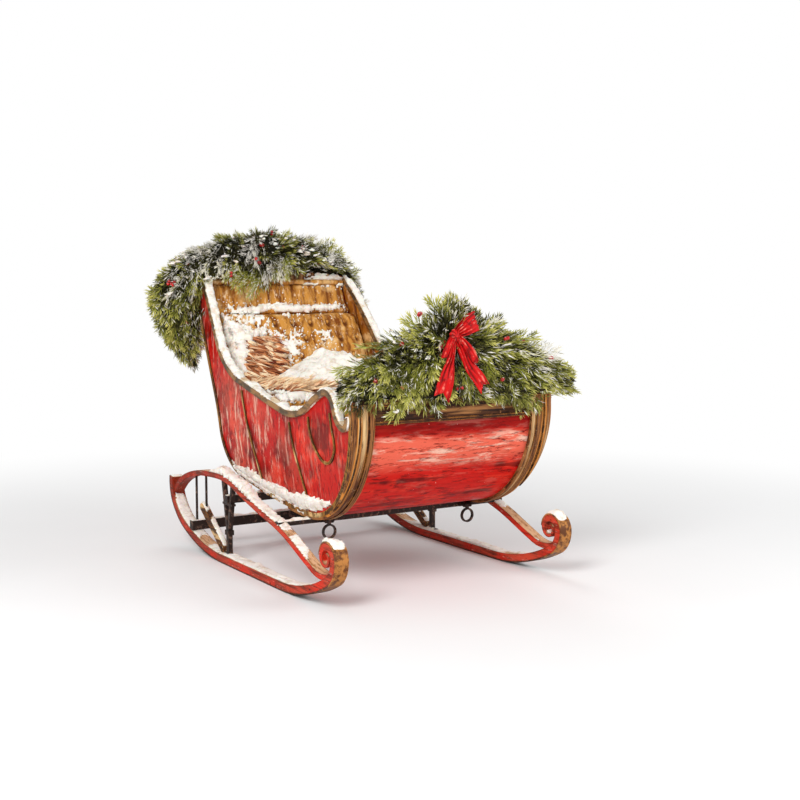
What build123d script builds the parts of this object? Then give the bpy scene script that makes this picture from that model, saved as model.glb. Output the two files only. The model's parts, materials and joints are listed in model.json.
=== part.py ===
from build123d import *
import os

# One-horse cutter sleigh: a swell-sided body on two bent runners, in millimetres.
# +X is forward, +Y is the sleigh's left, +Z is up.
# The origin is on the ground, below the middle of the whole object.
# Right-hand pieces are modelled, and left-hand ones are their mirror images.

# Body width and side curvature
half_width = 503
swell_height = 850
swell_radius = 3200
toe_in = 1.4
panel_t = 14
wrap_t = 16
fit_gap = 0.3
soft_gap = 0.6

# Body profile, as (x, height above the body's lowest point)
lift = 309
dash_x = 880
back_top = (-817, 1031)
back_points = [(-745, 801), (-560, 471), (-515, 301), (-310, 79)]
floor_points = [(200, 9), (430, 0)]
dash_points = [(721, 109), (dash_x, 381), (dash_x + 6, 491)]
dash_top = 531
rim_start = (-790, 1036)
rim_points = [(-530, 731), (-250, 545), (250, 439), (518, 489), (640, 549), (725, 516)]
rim_curl = [(735, 491), (806, 418), (dash_x - 12, 481)]

# Mouldings on the body
arm_rail_w = 42
arm_rail_h = 28
bead_w = 12
bead_proud = 7
edge_bead_w = 20
band_w = 100
band_t = 8
band_rear_x = 200
# Each reed on a corner band: distance from the band's inner edge, width, thickness
reeds = [(0, 24, 14), (29, 38, 11), (72, 90, 14)]
red_panel_top = 443
dash_cap_w = 46
dash_cap_h = 16
crest_rise = 58
crest_end_h = 22
crest_t = 38

# Seat and upholstery, with heights above the body's lowest point
seat_h = 351
seat_board_t = 18
seat_front_x = 150
riser_t = 16
cushion_t = 120
back_pad_t = 92
back_pad_h = 873
upper_pad_t = 34
side_pad_t = 22
plank_t = 10
plank_pitch = 180
plank_gap = 6
plank_count = 5
throw_t = 26
throw_w = 250
throw_inset = 253
throw_h = 751
throw_front_x = 90

# Runners
track_out = 75
runner_w = 64
runner_h = 34
shoe_t = 6
flat_rear_x = -190
flat_front_x = 430
runner_rear = [(-655, 100), (-790, 200), (-828, 338)]
runner_front = [(742, 57), (862, 108), (928, 215)]
scroll_outer = [70, 59, 46, 36, 27]
scroll_inner = [38, 33, 25, 21, 16]

# Upper rails, which carry the body between the runners' two ends
# Points between the ends are heights above the body's lowest point
rail_w = 50
rail_h = 26
rail_start = (-800, 272)
rail_points = [(-640, 62), (-420, 107), (-248, 116), (-54, 90), (329, -8), (556, -80)]
rail_dip = (725, 160)
rail_end = (891, 170)

# Cross beams, sills, knees, stays and braces
beam_w = 36
front_beam_x = 400
front_beam_h = 34
front_beam_end_drop = 15
wedge_h = 24
mid_beam_x = -158
mid_beam_drop = 17
rear_beam_x = -550
rear_beam_top = 146
sill_w = 44
sill_h = 30
sill_inset = 203
sill_rear_x = -290
knee_w = 22
leg_t = 17
leg_spread = 52
leg_meet_z = 150
knee_foot_l = 84
knee_foot_h = 10
saddle_h = 10
collar_l = 40
collar_h = 24
collar_proud = 4
stay_r = 6
stay_x = [-550, -428]
brace_w = 30
brace_t = 36
brace_foot = (-186, 44)
brace_head = (-458, 228)

# Draw eyes, hinged on the front beam
eye_inset = 131
pivot_x = 452
pivot_drop = -12
pin_r = 5
pin_clearance = 0.06
barrel_r = 10
barrel_len = 20
ear_t = 8
ear_play = 1
ear_r = 12
eye_drop = 50
eye_bore_r = 26
eye_wall = 8
eye_t = 12
neck_w = 14
plate_w = 56
plate_t = 8
pin_head_r = 8
pin_head_t = 5

# Greenery and bow, as plain closed solids
garland_reach = 965

# Stations along the greenery: place along it, two middle coordinates, two half widths
# Across the sleigh, y is a share of half_width
# Over the crest, from right to left: y, then x and height above the back's top
crest_stations = [
    (-1.27, -858, -50, 60, 60),
    (-1.05, -858, 25, 107, 110),
    (-0.72, -828, 96, 118, 118),
    (-0.16, -820, 140, 130, 132),
    (0.38, -822, 118, 118, 120),
    (0.80, -828, 48, 92, 105),
    (0.99, -836, -40, 60, 75),
    (1.09, -838, -85, 26, 40),
]
# Down the right side of the back: height above the back's top, then x and y
hanging_stations = [
    (-460, -826, -0.93, 22, 40),
    (-380, -842, -1.0, 62, 84),
    (-280, -850, -1.05, 84, 108),
    (-95, -858, -1.1232, 100, 135),
    (-10, -860, -1.09, 105, 118),
    (60, -850, -1.05, 90, 100),
]
# Over the dash, from right to left: y, then x and height above the dash's top
dash_stations = [
    (-1.16, 850, 48, 22, 26),
    (-1.03, 846, 58, 62, 60),
    (-0.80, 844, 66, 78, 98),
    (-0.48, 844, 100, 80, 146),
    (0.06, 844, 200, 80, 250),
    (0.32, 844, 162, 80, 212),
    (0.64, 844, 104, 80, 152),
    (0.95, 844, 72, 78, 114),
    (1.23, 846, 54, 64, 70),
    (1.3916, 850, 32, 26, 22),
]
# Outlines of the bow's loops, tails and middle tail: y, height above the dash's top
bow_outlines = [
    [(-52, 288), (-30, 328), (15, 362), (57, 373), (83, 336), (81, 289), (15, 280), (-30, 262)],
    [(-41, 278), (-97, 265), (-103, 242), (-97, 180), (-69, 177), (-48, 255)],
    [(-54, 262), (-91, 145), (-146, 28), (-104, 33), (-71, -9), (-46, 97), (-40, 200)],
    [(-42, 262), (-21, 185), (22, 118), (103, 16), (105, 63), (130, 72), (15, 202), (-20, 268)],
    [(-30, 268), (4, 212), (50, 157), (74, 163), (70, 182), (27, 234), (-14, 276)],
]
bow_knot = (-44, 274)
bow_knot_r = 26

far = 1000
top_z = lift + back_top[1]
dash_top_z = lift + dash_top
seat_board_z = lift + seat_h
back_pad_top = lift + back_pad_h
track_half = half_width + track_out
eye_y = half_width - eye_inset
sill_y = half_width - sill_inset
throw_y = half_width - throw_inset
cushion_z = seat_board_z + seat_board_t + fit_gap
cushion_top = cushion_z + cushion_t
runner_inner_y = track_half - runner_w / 2
rail_inner_y = track_half - rail_w / 2
front_beam_z = lift - front_beam_h
mid_beam_z = lift - mid_beam_drop
pivot_z = front_beam_z - pivot_drop
rear_joint_x = back_points[-1][0]
front_joint_x = floor_points[-1][0]
os.makedirs("parts", exist_ok=True)


def up(points):
    """Body profile points at their real height."""
    return [(x, lift + height) for x, height in points]


def arc_chain(start, heading, points):
    """Draws tangent arcs from start through points, and returns where it ends."""
    for end in points:
        arc = TangentArc(start, end, tangent=heading)
        start, heading = arc @ 1, arc % 1
    return start


def draw_keel():
    """Draws the outer line of back, floor and dash, from the back's top to the dash's top."""
    points = up([back_top] + back_points + floor_points + dash_points)
    end = arc_chain(points[0], (0, -1), points[1:])
    return Line(end, (end.X, lift + dash_top)) @ 1


def draw_rim():
    """Draws the top edge of a side, from the back's top to the curl behind the dash."""
    points = up([rim_start] + rim_points + rim_curl)
    return arc_chain(points[0], (1, -1), points[1:])


def draw_side():
    """Draws the closed outline of a side."""
    keel_end = draw_keel()
    rim_end = draw_rim()
    Line(*up([back_top, rim_start]))
    Polyline(rim_end, (rim_end.X, keel_end.Y), keel_end)


def draw_body():
    """Draws the closed outline of the space inside the body, up to a line from back to dash."""
    Line(draw_keel(), up([back_top])[0])


def draw_rail():
    """Draws the top line of an upper rail, from its rear end forward."""
    arc_chain(rail_start, (1, 1), up(rail_points) + [rail_dip, rail_end])


def scroll_line(start, radii):
    """Draws quarter arcs of falling radius that rise from start and curl rearward."""
    point, heading = Vector(*start), (0, 1)
    turns = [(-1, 1), (-1, -1), (1, -1), (1, 1)]
    for quarter, radius in enumerate(radii):
        side_x, side_z = turns[quarter % 4]
        end = point + Vector(side_x * radius, side_z * radius)
        arc = TangentArc(point, end, tangent=heading)
        point, heading = arc @ 1, arc % 1
    return point


def right_plane(inner_y):
    """Upright plane whose sketches extrude away from the middle, to the right."""
    return Plane.XZ.offset(inner_y)


def trim_box(x0, x1, z0, z1, half_y=far):
    """A plain box for trimming."""
    place = Pos((x0 + x1) / 2, 0, (z0 + z1) / 2)
    return place * Box(x1 - x0, 2 * half_y, z1 - z0, mode=Mode.PRIVATE)


def slab_face(z, out):
    """The y of the right side's curved face at height z, moved outward."""
    radius = swell_radius + out
    return swell_radius - half_width - (radius**2 - (z - swell_height) ** 2) ** 0.5


def side_slab(inner, outer):
    """Curved slab along the right side, between two distances outward from its outer face."""
    heights = (lift - 60, swell_height, top_z + 120)
    inner_arc = [(slab_face(z, inner), z) for z in heights]
    outer_arc = [(slab_face(z, outer), z) for z in heights]
    with BuildPart(mode=Mode.PRIVATE) as slab:
        with BuildSketch(Plane.YZ.offset(-far)):
            with BuildLine():
                ThreePointArc(*inner_arc)
                ThreePointArc(*outer_arc)
                Line(inner_arc[0], outer_arc[0])
                Line(inner_arc[2], outer_arc[2])
            make_face()
        extrude(amount=2 * far)
    return slab.part.rotate(Axis((dash_x, -half_width, 0), (0, 0, 1)), -toe_in)


def mirrored(part):
    """The left-hand twin of a right-hand piece."""
    return mirror(part, about=Plane.XZ, mode=Mode.PRIVATE)


def save(part, name):
    """Labels one finished piece and writes it."""
    part.label = name
    export_step(part, f"parts/{name}.step")


def save_pair(part, name):
    """Writes a right-hand piece and its left-hand twin."""
    twin = mirrored(part)
    save(part, name + "_right")
    save(twin, name + "_left")


# Curved slabs that shape the sides, the mouldings on them and everything between them
rail_overhang = (arm_rail_w - panel_t) / 2
panel_slab = side_slab(-panel_t, 0)
bead_slab = side_slab(fit_gap, bead_proud)
arm_slab = side_slab(-panel_t - rail_overhang, rail_overhang)
pad_slab = side_slab(-panel_t - side_pad_t, -panel_t - soft_gap)
past_beads = side_slab(bead_proud, far)
past_panel = side_slab(-panel_t - fit_gap, far)
past_pad = side_slab(-panel_t - side_pad_t - soft_gap, far)
past_panels = [past_panel, mirrored(past_panel)]
past_pads = [past_pad, mirrored(past_pad)]
past_arm = side_slab(-panel_t - rail_overhang - soft_gap, far)
past_arms = [past_arm, mirrored(past_arm)]
past_side = side_slab(rail_overhang + soft_gap, far)
past_sides = [past_side, mirrored(past_side)]

# The space between the body's sides, inside its wrap
with BuildPart() as cavity:
    with BuildSketch(right_plane(-far)):
        with BuildLine():
            draw_body()
        make_face()
        with BuildLine():
            draw_keel()
            offset(amount=wrap_t + fit_gap, side=Side.LEFT)
        make_face(mode=Mode.SUBTRACT)
    extrude(amount=2 * far)
    add(past_panels, mode=Mode.SUBTRACT)

# The same space for soft pieces, which stay clear of the side pads too
with BuildPart() as soft_cavity:
    add(cavity.part)
    add(past_pads, mode=Mode.SUBTRACT)

# The body's outline with the fit gap below it, for cutting what stands underneath
with BuildPart() as body_block:
    with BuildSketch(right_plane(-far)):
        with BuildLine():
            draw_body()
        make_face()
        with BuildLine():
            draw_keel()
            offset(amount=fit_gap, side=Side.RIGHT)
        make_face()
    extrude(amount=2 * far)

# Body shell: back, floor and dash follow one line, and meet at level or upright joints
with BuildPart() as wrap:
    with BuildSketch(right_plane(-half_width)):
        with BuildLine():
            draw_keel()
            offset(amount=wrap_t, side=Side.LEFT)
        make_face()
    extrude(amount=2 * half_width)
    add(past_panels, mode=Mode.SUBTRACT)

with BuildPart() as back_panel:
    add(wrap.part)
    split(bisect_by=Plane.YZ.offset(rear_joint_x), keep=Keep.BOTTOM)
save(back_panel.part, "back_panel")

with BuildPart() as floor_pan:
    add(wrap.part)
    split(bisect_by=Plane.YZ.offset(rear_joint_x), keep=Keep.TOP)
    split(bisect_by=Plane.YZ.offset(front_joint_x), keep=Keep.BOTTOM)
save(floor_pan.part, "floor_pan")

with BuildPart() as dash_panel:
    add(wrap.part)
    split(bisect_by=Plane.YZ.offset(front_joint_x), keep=Keep.TOP)
    split(bisect_by=Plane.XY.offset(lift + red_panel_top), keep=Keep.BOTTOM)
save(dash_panel.part, "dash_panel")

# The board over the dash has a raised bead along its top and bottom edges
with BuildPart() as dash_board:
    add(wrap.part)
    split(bisect_by=Plane.YZ.offset(front_joint_x), keep=Keep.TOP)
    split(bisect_by=Plane.XY.offset(lift + red_panel_top), keep=Keep.TOP)
    with BuildSketch(Plane.YZ.offset(dash_x)):
        with Locations((0, lift + red_panel_top + bead_w / 2), (0, lift + dash_top - bead_w / 2)):
            Rectangle(2 * (half_width - band_w - fit_gap), bead_w)
    extrude(amount=2 * bead_proud)
save(dash_board.part, "dash_board")

# The cap covers the dash's top edge, from one corner band to the other, and is rounded along its top
with BuildPart() as dash_cap:
    with BuildSketch(right_plane(-half_width - bead_proud)) as cap_section:
        with Locations((dash_x - 2, dash_top_z + dash_cap_h / 2)):
            Rectangle(dash_cap_w, dash_cap_h)
        fillet(cap_section.vertices().group_by(Axis.Z)[-1], dash_cap_h / 2)
    extrude(amount=2 * (half_width + bead_proud))
save(dash_cap.part, "dash_cap")

# Sides
with BuildPart() as side_panel:
    with BuildSketch(right_plane(0)):
        with BuildLine():
            draw_side()
        make_face()
    extrude(amount=far)
    add(panel_slab, mode=Mode.INTERSECT)
save_pair(side_panel.part, "side_panel")

with BuildPart() as arm_rail:
    with BuildSketch(right_plane(0)):
        with BuildLine():
            draw_rim()
            offset(amount=arm_rail_h, side=Side.LEFT)
        make_face()
    extrude(amount=far)
    add(arm_slab, mode=Mode.INTERSECT)
save_pair(arm_rail.part, "arm_rail")

# Beads: each has its start, its direction there, and the points that it passes through
bead_lines = [
    ((-215, 506), (0.25, -1), [(-150, 320), (-38, 58)]),
    ((300, 402), (0.22, -1), [(360, 230), (432, 38)]),
    ((493, 444), (0.05, -1), [(598, 276), (722, 384), (697, 478)]),
]
with BuildPart() as side_beads:
    with BuildSketch(right_plane(0)):
        with BuildLine():
            draw_keel()
            offset(amount=edge_bead_w, side=Side.LEFT)
        make_face()
        for bead_start, bead_heading, bead_points in bead_lines:
            with BuildLine():
                arc_chain(up([bead_start])[0], bead_heading, up(bead_points))
                offset(amount=bead_w / 2, side=Side.BOTH)
            make_face()
        with BuildLine():
            draw_side()
        make_face(mode=Mode.INTERSECT)
    extrude(amount=far)
    add(bead_slab, mode=Mode.INTERSECT)
save_pair(side_beads.part, "side_beads")

# Corner bands: reeded boards round the dash's two edges, running back under the floor
band_inner_y = half_width - band_w
with BuildPart() as corner_band:
    with BuildSketch(right_plane(band_inner_y)):
        with BuildLine():
            draw_keel()
            offset(amount=band_t, side=Side.RIGHT)
        make_face()
    extrude(amount=band_w + 60)
    for reed_start, reed_width, reed_thickness in reeds:
        with BuildSketch(right_plane(band_inner_y + reed_start)):
            with BuildLine():
                draw_keel()
                offset(amount=reed_thickness, side=Side.RIGHT)
            make_face()
        extrude(amount=reed_width)
    with BuildSketch(right_plane(band_inner_y)):
        with BuildLine():
            draw_keel()
            offset(amount=fit_gap, side=Side.RIGHT)
        make_face()
    extrude(amount=band_w + 60, mode=Mode.SUBTRACT)
    split(bisect_by=Plane.YZ.offset(band_rear_x), keep=Keep.TOP)
    add(past_beads, mode=Mode.SUBTRACT)
save_pair(corner_band.part, "corner_band")

# Crest: an arched rail that stands on the back's top edge
crest_rear_x = back_top[0] + wrap_t / 2 - crest_t / 2


def draw_crest():
    """Draws the crest's closed outline, seen from the front."""
    half = half_width - 62
    corners = [(-half, top_z + crest_end_h), (-half, top_z), (half, top_z), (half, top_z + crest_end_h)]
    Polyline(*corners)
    ThreePointArc(corners[0], (0, top_z + crest_rise), corners[3])


with BuildPart() as crest_rail:
    with BuildSketch(Plane.YZ.offset(crest_rear_x)):
        with BuildLine():
            draw_crest()
        make_face()
    extrude(amount=crest_t)
    add(past_panels, mode=Mode.SUBTRACT)
save(crest_rail.part, "crest_rail")

# Seat: riser and board inside the body
with BuildPart() as seat_riser:
    add(trim_box(seat_front_x - riser_t - 4, seat_front_x - 4, lift, seat_board_z))
    add(cavity.part, mode=Mode.INTERSECT)
save(seat_riser.part, "seat_riser")

with BuildPart() as seat_board:
    add(trim_box(-far, seat_front_x, seat_board_z, seat_board_z + seat_board_t))
    add(cavity.part, mode=Mode.INTERSECT)
save(seat_board.part, "seat_board")

# Upholstery
with BuildPart() as seat_cushion:
    add(trim_box(-far, seat_front_x - 6, cushion_z, cushion_top))
    add(cavity.part, mode=Mode.INTERSECT)
    add(past_arms, mode=Mode.SUBTRACT)
save(seat_cushion.part, "seat_cushion")

with BuildPart() as back_cushion:
    with BuildSketch(right_plane(-half_width)):
        with BuildLine():
            draw_keel()
            offset(amount=wrap_t + back_pad_t, side=Side.LEFT)
        make_face()
    extrude(amount=2 * half_width)
    add(trim_box(-far, 0, cushion_top + soft_gap, back_pad_top), mode=Mode.INTERSECT)
    add(soft_cavity.part, mode=Mode.INTERSECT)
save(back_cushion.part, "back_cushion")

with BuildPart() as back_upper_pad:
    with BuildSketch(right_plane(-half_width)):
        with BuildLine():
            draw_keel()
            offset(amount=wrap_t + upper_pad_t, side=Side.LEFT)
        make_face()
    extrude(amount=2 * half_width)
    add(trim_box(-far, 0, back_pad_top + soft_gap, top_z - soft_gap), mode=Mode.INTERSECT)
    add(soft_cavity.part, mode=Mode.INTERSECT)
save(back_upper_pad.part, "back_upper_pad")

with BuildPart() as side_pad:
    with BuildSketch(right_plane(0)):
        with BuildLine():
            draw_side()
        make_face()
        with BuildLine():
            draw_keel()
            offset(amount=wrap_t + soft_gap, side=Side.LEFT)
        make_face(mode=Mode.SUBTRACT)
        with BuildLine():
            draw_rim()
            offset(amount=soft_gap, side=Side.RIGHT)
        make_face(mode=Mode.SUBTRACT)
    extrude(amount=far)
    add(pad_slab, mode=Mode.INTERSECT)
    add(trim_box(-far, seat_front_x, cushion_top + soft_gap, top_z - soft_gap), mode=Mode.INTERSECT)
save_pair(side_pad.part, "side_pad")

# A throw lies over the right half of the seat and up the back cushion
with BuildPart() as throw:
    with BuildSketch(right_plane(throw_y - throw_w / 2)):
        with BuildLine():
            draw_keel()
            offset(amount=wrap_t + back_pad_t + soft_gap + throw_t, side=Side.LEFT)
        make_face()
        with BuildLine():
            draw_keel()
            offset(amount=wrap_t + back_pad_t + soft_gap, side=Side.LEFT)
        make_face(mode=Mode.SUBTRACT)
    extrude(amount=throw_w)
    add(trim_box(-far, 0, cushion_top + soft_gap, lift + throw_h), mode=Mode.INTERSECT)
    with BuildSketch(Plane.XY.offset(cushion_top + soft_gap)):
        with Locations(((throw_front_x - 440) / 2, -throw_y)):
            Rectangle(throw_front_x + 440, throw_w)
    extrude(amount=throw_t)
save(throw.part, "throw")

# Foot boards lie along the floor, in front of the seat
with BuildPart() as foot_boards:
    with BuildSketch(right_plane(-half_width)):
        with BuildLine():
            draw_keel()
            offset(amount=wrap_t + plank_t, side=Side.LEFT)
        make_face()
    extrude(amount=2 * half_width)
    add(trim_box(seat_front_x, dash_points[0][0], lift, lift + dash_top), mode=Mode.INTERSECT)
    add(cavity.part, mode=Mode.INTERSECT)
    for number in range(1, plank_count):
        with Locations((0, (number - plank_count / 2) * plank_pitch, lift)):
            Box(2 * far, plank_gap, far, mode=Mode.SUBTRACT)
save(foot_boards.part, "foot_boards")

# Runner: a bent strip whose front end rolls over into a scroll
tip_x, tip_z = runner_front[-1]
with BuildPart() as runner:
    with BuildSketch(right_plane(runner_inner_y)):
        with BuildLine():
            arc_chain((flat_front_x, shoe_t), (1, 0), runner_front)
            offset(amount=runner_h, side=Side.LEFT)
        make_face()
        with BuildLine():
            arc_chain((flat_rear_x, shoe_t), (-1, 0), runner_rear)
            offset(amount=runner_h, side=Side.RIGHT)
        make_face()
        with Locations(((flat_rear_x + flat_front_x) / 2, shoe_t + runner_h / 2)):
            Rectangle(flat_front_x - flat_rear_x, runner_h)
        with BuildLine():
            outer_end = scroll_line((tip_x, tip_z), scroll_outer)
            inner_end = scroll_line((tip_x - runner_h, tip_z), scroll_inner)
            Line((tip_x, tip_z), (tip_x - runner_h, tip_z))
            Line(outer_end, inner_end)
        make_face()
    extrude(amount=runner_w)
save_pair(runner.part, "runner")

# Shoe: an iron strap under the runner, up its front and over the scroll
with BuildPart() as runner_shoe:
    with BuildSketch(right_plane(runner_inner_y)):
        with BuildLine():
            arc_chain((flat_front_x, shoe_t), (1, 0), runner_front)
            scroll_line(runner_front[-1], scroll_outer[:2])
            offset(amount=shoe_t, side=Side.RIGHT)
        make_face()
        with BuildLine():
            arc_chain((flat_rear_x, shoe_t), (-1, 0), runner_rear)
            offset(amount=shoe_t, side=Side.LEFT)
        make_face()
        with Locations(((flat_rear_x + flat_front_x) / 2, shoe_t / 2)):
            Rectangle(flat_front_x - flat_rear_x, shoe_t)
        with BuildLine():
            arc_chain((flat_front_x, shoe_t), (1, 0), runner_front)
            scroll_line(runner_front[-1], scroll_outer[:2])
            offset(amount=fit_gap, side=Side.RIGHT)
        make_face(mode=Mode.SUBTRACT)
        with BuildLine():
            arc_chain((flat_rear_x, shoe_t), (-1, 0), runner_rear)
            offset(amount=fit_gap, side=Side.LEFT)
        make_face(mode=Mode.SUBTRACT)
    extrude(amount=runner_w)
save_pair(runner_shoe.part, "runner_shoe")

# The runner with the fit gap above it, for cutting what stands on it
with BuildPart() as runner_block:
    add(runner.part)
    with BuildSketch(right_plane(runner_inner_y)):
        with BuildLine():
            arc_chain((flat_front_x, shoe_t), (1, 0), runner_front)
            offset(amount=runner_h + fit_gap, side=Side.LEFT)
        make_face()
        with BuildLine():
            arc_chain((flat_rear_x, shoe_t), (-1, 0), runner_rear)
            offset(amount=runner_h + fit_gap, side=Side.RIGHT)
        make_face()
    extrude(amount=runner_w)

# Upper rail: from the runner's rear tip, over the knee, under the front beam, to the scroll
with BuildPart() as upper_rail:
    with BuildSketch(right_plane(rail_inner_y)):
        with BuildLine():
            draw_rail()
            offset(amount=rail_h, side=Side.RIGHT)
        make_face()
    extrude(amount=rail_w)
    add(runner_block.part, mode=Mode.SUBTRACT)
save_pair(upper_rail.part, "upper_rail")

# Knees and stays are drawn up to one height and cut off at the rail
leg_top_z = lift + 130
over_rail = 100

# The rail with the fit gap on one face, for cutting what stands under it or lies on it
with BuildPart() as over_props:
    with BuildSketch(right_plane(rail_inner_y)):
        with BuildLine():
            draw_rail()
            offset(amount=rail_h + fit_gap, side=Side.RIGHT)
        make_face()
        with BuildLine():
            draw_rail()
            offset(amount=over_rail, side=Side.LEFT)
        make_face()
    extrude(amount=rail_w)

with BuildPart() as under_beam:
    with BuildSketch(right_plane(rail_inner_y)):
        with BuildLine():
            draw_rail()
            offset(amount=over_rail, side=Side.RIGHT)
        make_face()
        with BuildLine():
            draw_rail()
            offset(amount=fit_gap, side=Side.LEFT)
        make_face()
    extrude(amount=rail_w)

# Sills follow the floor's underside, from behind the middle beam to the front beam
with BuildPart() as sill:
    with BuildSketch(right_plane(sill_y - sill_w / 2)):
        with BuildLine():
            draw_keel()
            offset(amount=sill_h, side=Side.RIGHT)
        make_face()
    extrude(amount=sill_w)
    add(trim_box(sill_rear_x, front_beam_x - beam_w / 2, 0, far), mode=Mode.INTERSECT)
    add(body_block.part, mode=Mode.SUBTRACT)
save_pair(sill.part, "sill")

# Front beam: full depth between the corner bands, thinner outside them, wedged and notched over the rails
with BuildPart() as front_beam:
    with BuildSketch(Plane.XY.offset(front_beam_z)):
        with Locations((front_beam_x, 0)):
            Rectangle(beam_w, 2 * (band_inner_y - 2))
    extrude(amount=front_beam_h)
    with BuildSketch(Plane.XY.offset(front_beam_z)):
        with Locations((front_beam_x, 0)):
            Rectangle(beam_w, 2 * (rail_inner_y + rail_w))
    extrude(amount=front_beam_h - front_beam_end_drop)
    with BuildSketch(Plane.XY.offset(front_beam_z)):
        with Locations((front_beam_x, -track_half), (front_beam_x, track_half)):
            Rectangle(beam_w, rail_w)
    extrude(amount=-wedge_h)
    add([body_block.part, under_beam.part, mirrored(under_beam.part)], mode=Mode.SUBTRACT)
save(front_beam.part, "front_beam")

# Middle beam: lies on the knees' saddles and carries the sills
with BuildPart() as mid_beam:
    with BuildSketch(Plane.XY.offset(mid_beam_z)):
        with Locations((mid_beam_x, 0)):
            Rectangle(beam_w, 2 * (track_half + knee_w / 2 + 6))
    extrude(amount=beam_w)
    add([body_block.part, sill.part, mirrored(sill.part)], mode=Mode.SUBTRACT)
save(mid_beam.part, "mid_beam")

# Rear beam: notched over both runners
with BuildPart() as rear_beam:
    with BuildSketch(Plane.XY.offset(rear_beam_top)):
        with Locations((rear_beam_x, 0)):
            Rectangle(beam_w, 2 * (runner_inner_y + runner_w))
    extrude(amount=-1.3 * beam_w)
    add([runner_block.part, mirrored(runner_block.part)], mode=Mode.SUBTRACT)
save(rear_beam.part, "rear_beam")

# Knee: two legs that part above a collar and a foot on the runner, with a saddle under the middle beam
leg_slope = leg_spread / (lift + 86 - leg_meet_z)
knee_runner_top = shoe_t + runner_h
with BuildPart() as knee:
    with BuildSketch(right_plane(track_half - knee_w / 2)):
        for side in (-1, 1):
            head_x = mid_beam_x + side * leg_slope * (leg_top_z - leg_meet_z)
            with BuildLine():
                Line((mid_beam_x, leg_meet_z - 20), (head_x, leg_top_z))
                offset(amount=leg_t / 2, side=Side.BOTH)
            make_face()
        with Locations((mid_beam_x, (knee_runner_top + leg_meet_z) / 2)):
            Rectangle(1.5 * leg_t, leg_meet_z - knee_runner_top)
        with Locations((mid_beam_x, knee_runner_top + knee_foot_h / 2)):
            Rectangle(knee_foot_l, knee_foot_h)
        with Locations((mid_beam_x, mid_beam_z - saddle_h / 2)):
            Rectangle(2 * leg_spread, saddle_h)
    extrude(amount=knee_w)
    with BuildSketch(right_plane(track_half - knee_w / 2 - collar_proud)):
        with Locations((mid_beam_x, leg_meet_z)):
            Rectangle(collar_l, collar_h)
    extrude(amount=knee_w + 2 * collar_proud)
    add([over_props.part, runner_block.part], mode=Mode.SUBTRACT)
save_pair(knee.part, "knee")

# Brace: a wooden strut from the knee's foot, up and rearward
with BuildPart() as brace:
    with BuildSketch(right_plane(track_half - brace_w / 2)):
        with BuildLine():
            Line(brace_foot, brace_head)
            offset(amount=brace_t / 2, side=Side.BOTH)
        make_face()
    extrude(amount=brace_w)
    add(runner_block.part, mode=Mode.SUBTRACT)
    add(trim_box(mid_beam_x - knee_foot_l / 2, far, 0, far), mode=Mode.SUBTRACT)
save_pair(brace.part, "brace")

# Stays: two upright rods on each side, one from the rear beam and one from the brace
brace_slope = (brace_head[1] - brace_foot[1]) / (brace_head[0] - brace_foot[0])
stay_z = [rear_beam_top, brace_foot[1] + brace_slope * (stay_x[1] - brace_foot[0])]
with BuildPart() as stays:
    for rod_x, rod_z in zip(stay_x, stay_z):
        with BuildSketch(Plane.XY.offset(rod_z)):
            with Locations((rod_x, -track_half)):
                Circle(stay_r)
        extrude(amount=leg_top_z - rod_z)
    add([over_props.part, brace.part], mode=Mode.SUBTRACT)
save_pair(stays.part, "stays")

# Draw bracket: a plate on the front beam with two ears and a fixed pin between them
plate_x = front_beam_x + beam_w / 2
inner_ear_y = eye_y - barrel_len / 2 - ear_play - ear_t
outer_ear_y = eye_y + barrel_len / 2 + ear_play
with BuildPart() as draw_bracket:
    with BuildSketch(Plane.YZ.offset(plate_x)):
        with Locations((-eye_y, front_beam_z + front_beam_h / 2 - 1)):
            Rectangle(plate_w, front_beam_h - 4)
    extrude(amount=plate_t)
    for ear_y in (inner_ear_y, outer_ear_y):
        with BuildSketch(right_plane(ear_y)):
            with Locations((pivot_x, pivot_z)):
                Circle(ear_r)
            with BuildLine():
                Polyline(
                    (plate_x, front_beam_z + 3),
                    (pivot_x - ear_r, pivot_z),
                    (pivot_x, pivot_z + ear_r),
                    (plate_x, front_beam_z + 26),
                    close=True,
                )
            make_face()
        extrude(amount=ear_t)
    with BuildSketch(right_plane(inner_ear_y)):
        with Locations((pivot_x, pivot_z)):
            Circle(pin_r)
    extrude(amount=outer_ear_y + ear_t - inner_ear_y)
    for head_y in (inner_ear_y - pin_head_t, outer_ear_y + ear_t):
        with BuildSketch(right_plane(head_y)):
            with Locations((pivot_x, pivot_z)):
                RegularPolygon(pin_head_r, 6)
        extrude(amount=pin_head_t)
save_pair(draw_bracket.part, "draw_bracket")

# Draw eye: a ring that hangs from a barrel round the pin
with BuildPart() as draw_eye:
    with BuildSketch(right_plane(eye_y - barrel_len / 2)):
        with Locations((pivot_x, pivot_z)):
            Circle(barrel_r)
    extrude(amount=barrel_len)
    with BuildSketch(Plane.YZ.offset(pivot_x - eye_t / 2)):
        with Locations((-eye_y, pivot_z - eye_drop)):
            Circle(eye_bore_r + eye_wall)
        with Locations((-eye_y, pivot_z - barrel_r - 5)):
            Rectangle(neck_w, 20)
        with Locations((-eye_y, pivot_z - eye_drop)):
            Circle(eye_bore_r, mode=Mode.SUBTRACT)
    extrude(amount=eye_t)
    with BuildSketch(right_plane(eye_y - barrel_len / 2)):
        with Locations((pivot_x, pivot_z)):
            Circle(pin_r + pin_clearance)
    extrude(amount=barrel_len, mode=Mode.SUBTRACT)
save_pair(draw_eye.part, "draw_eye")


# Greenery
def across(share):
    """Upright plane across the sleigh, at a share of its half width."""
    return Plane.XZ.offset(-share * half_width)


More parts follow.
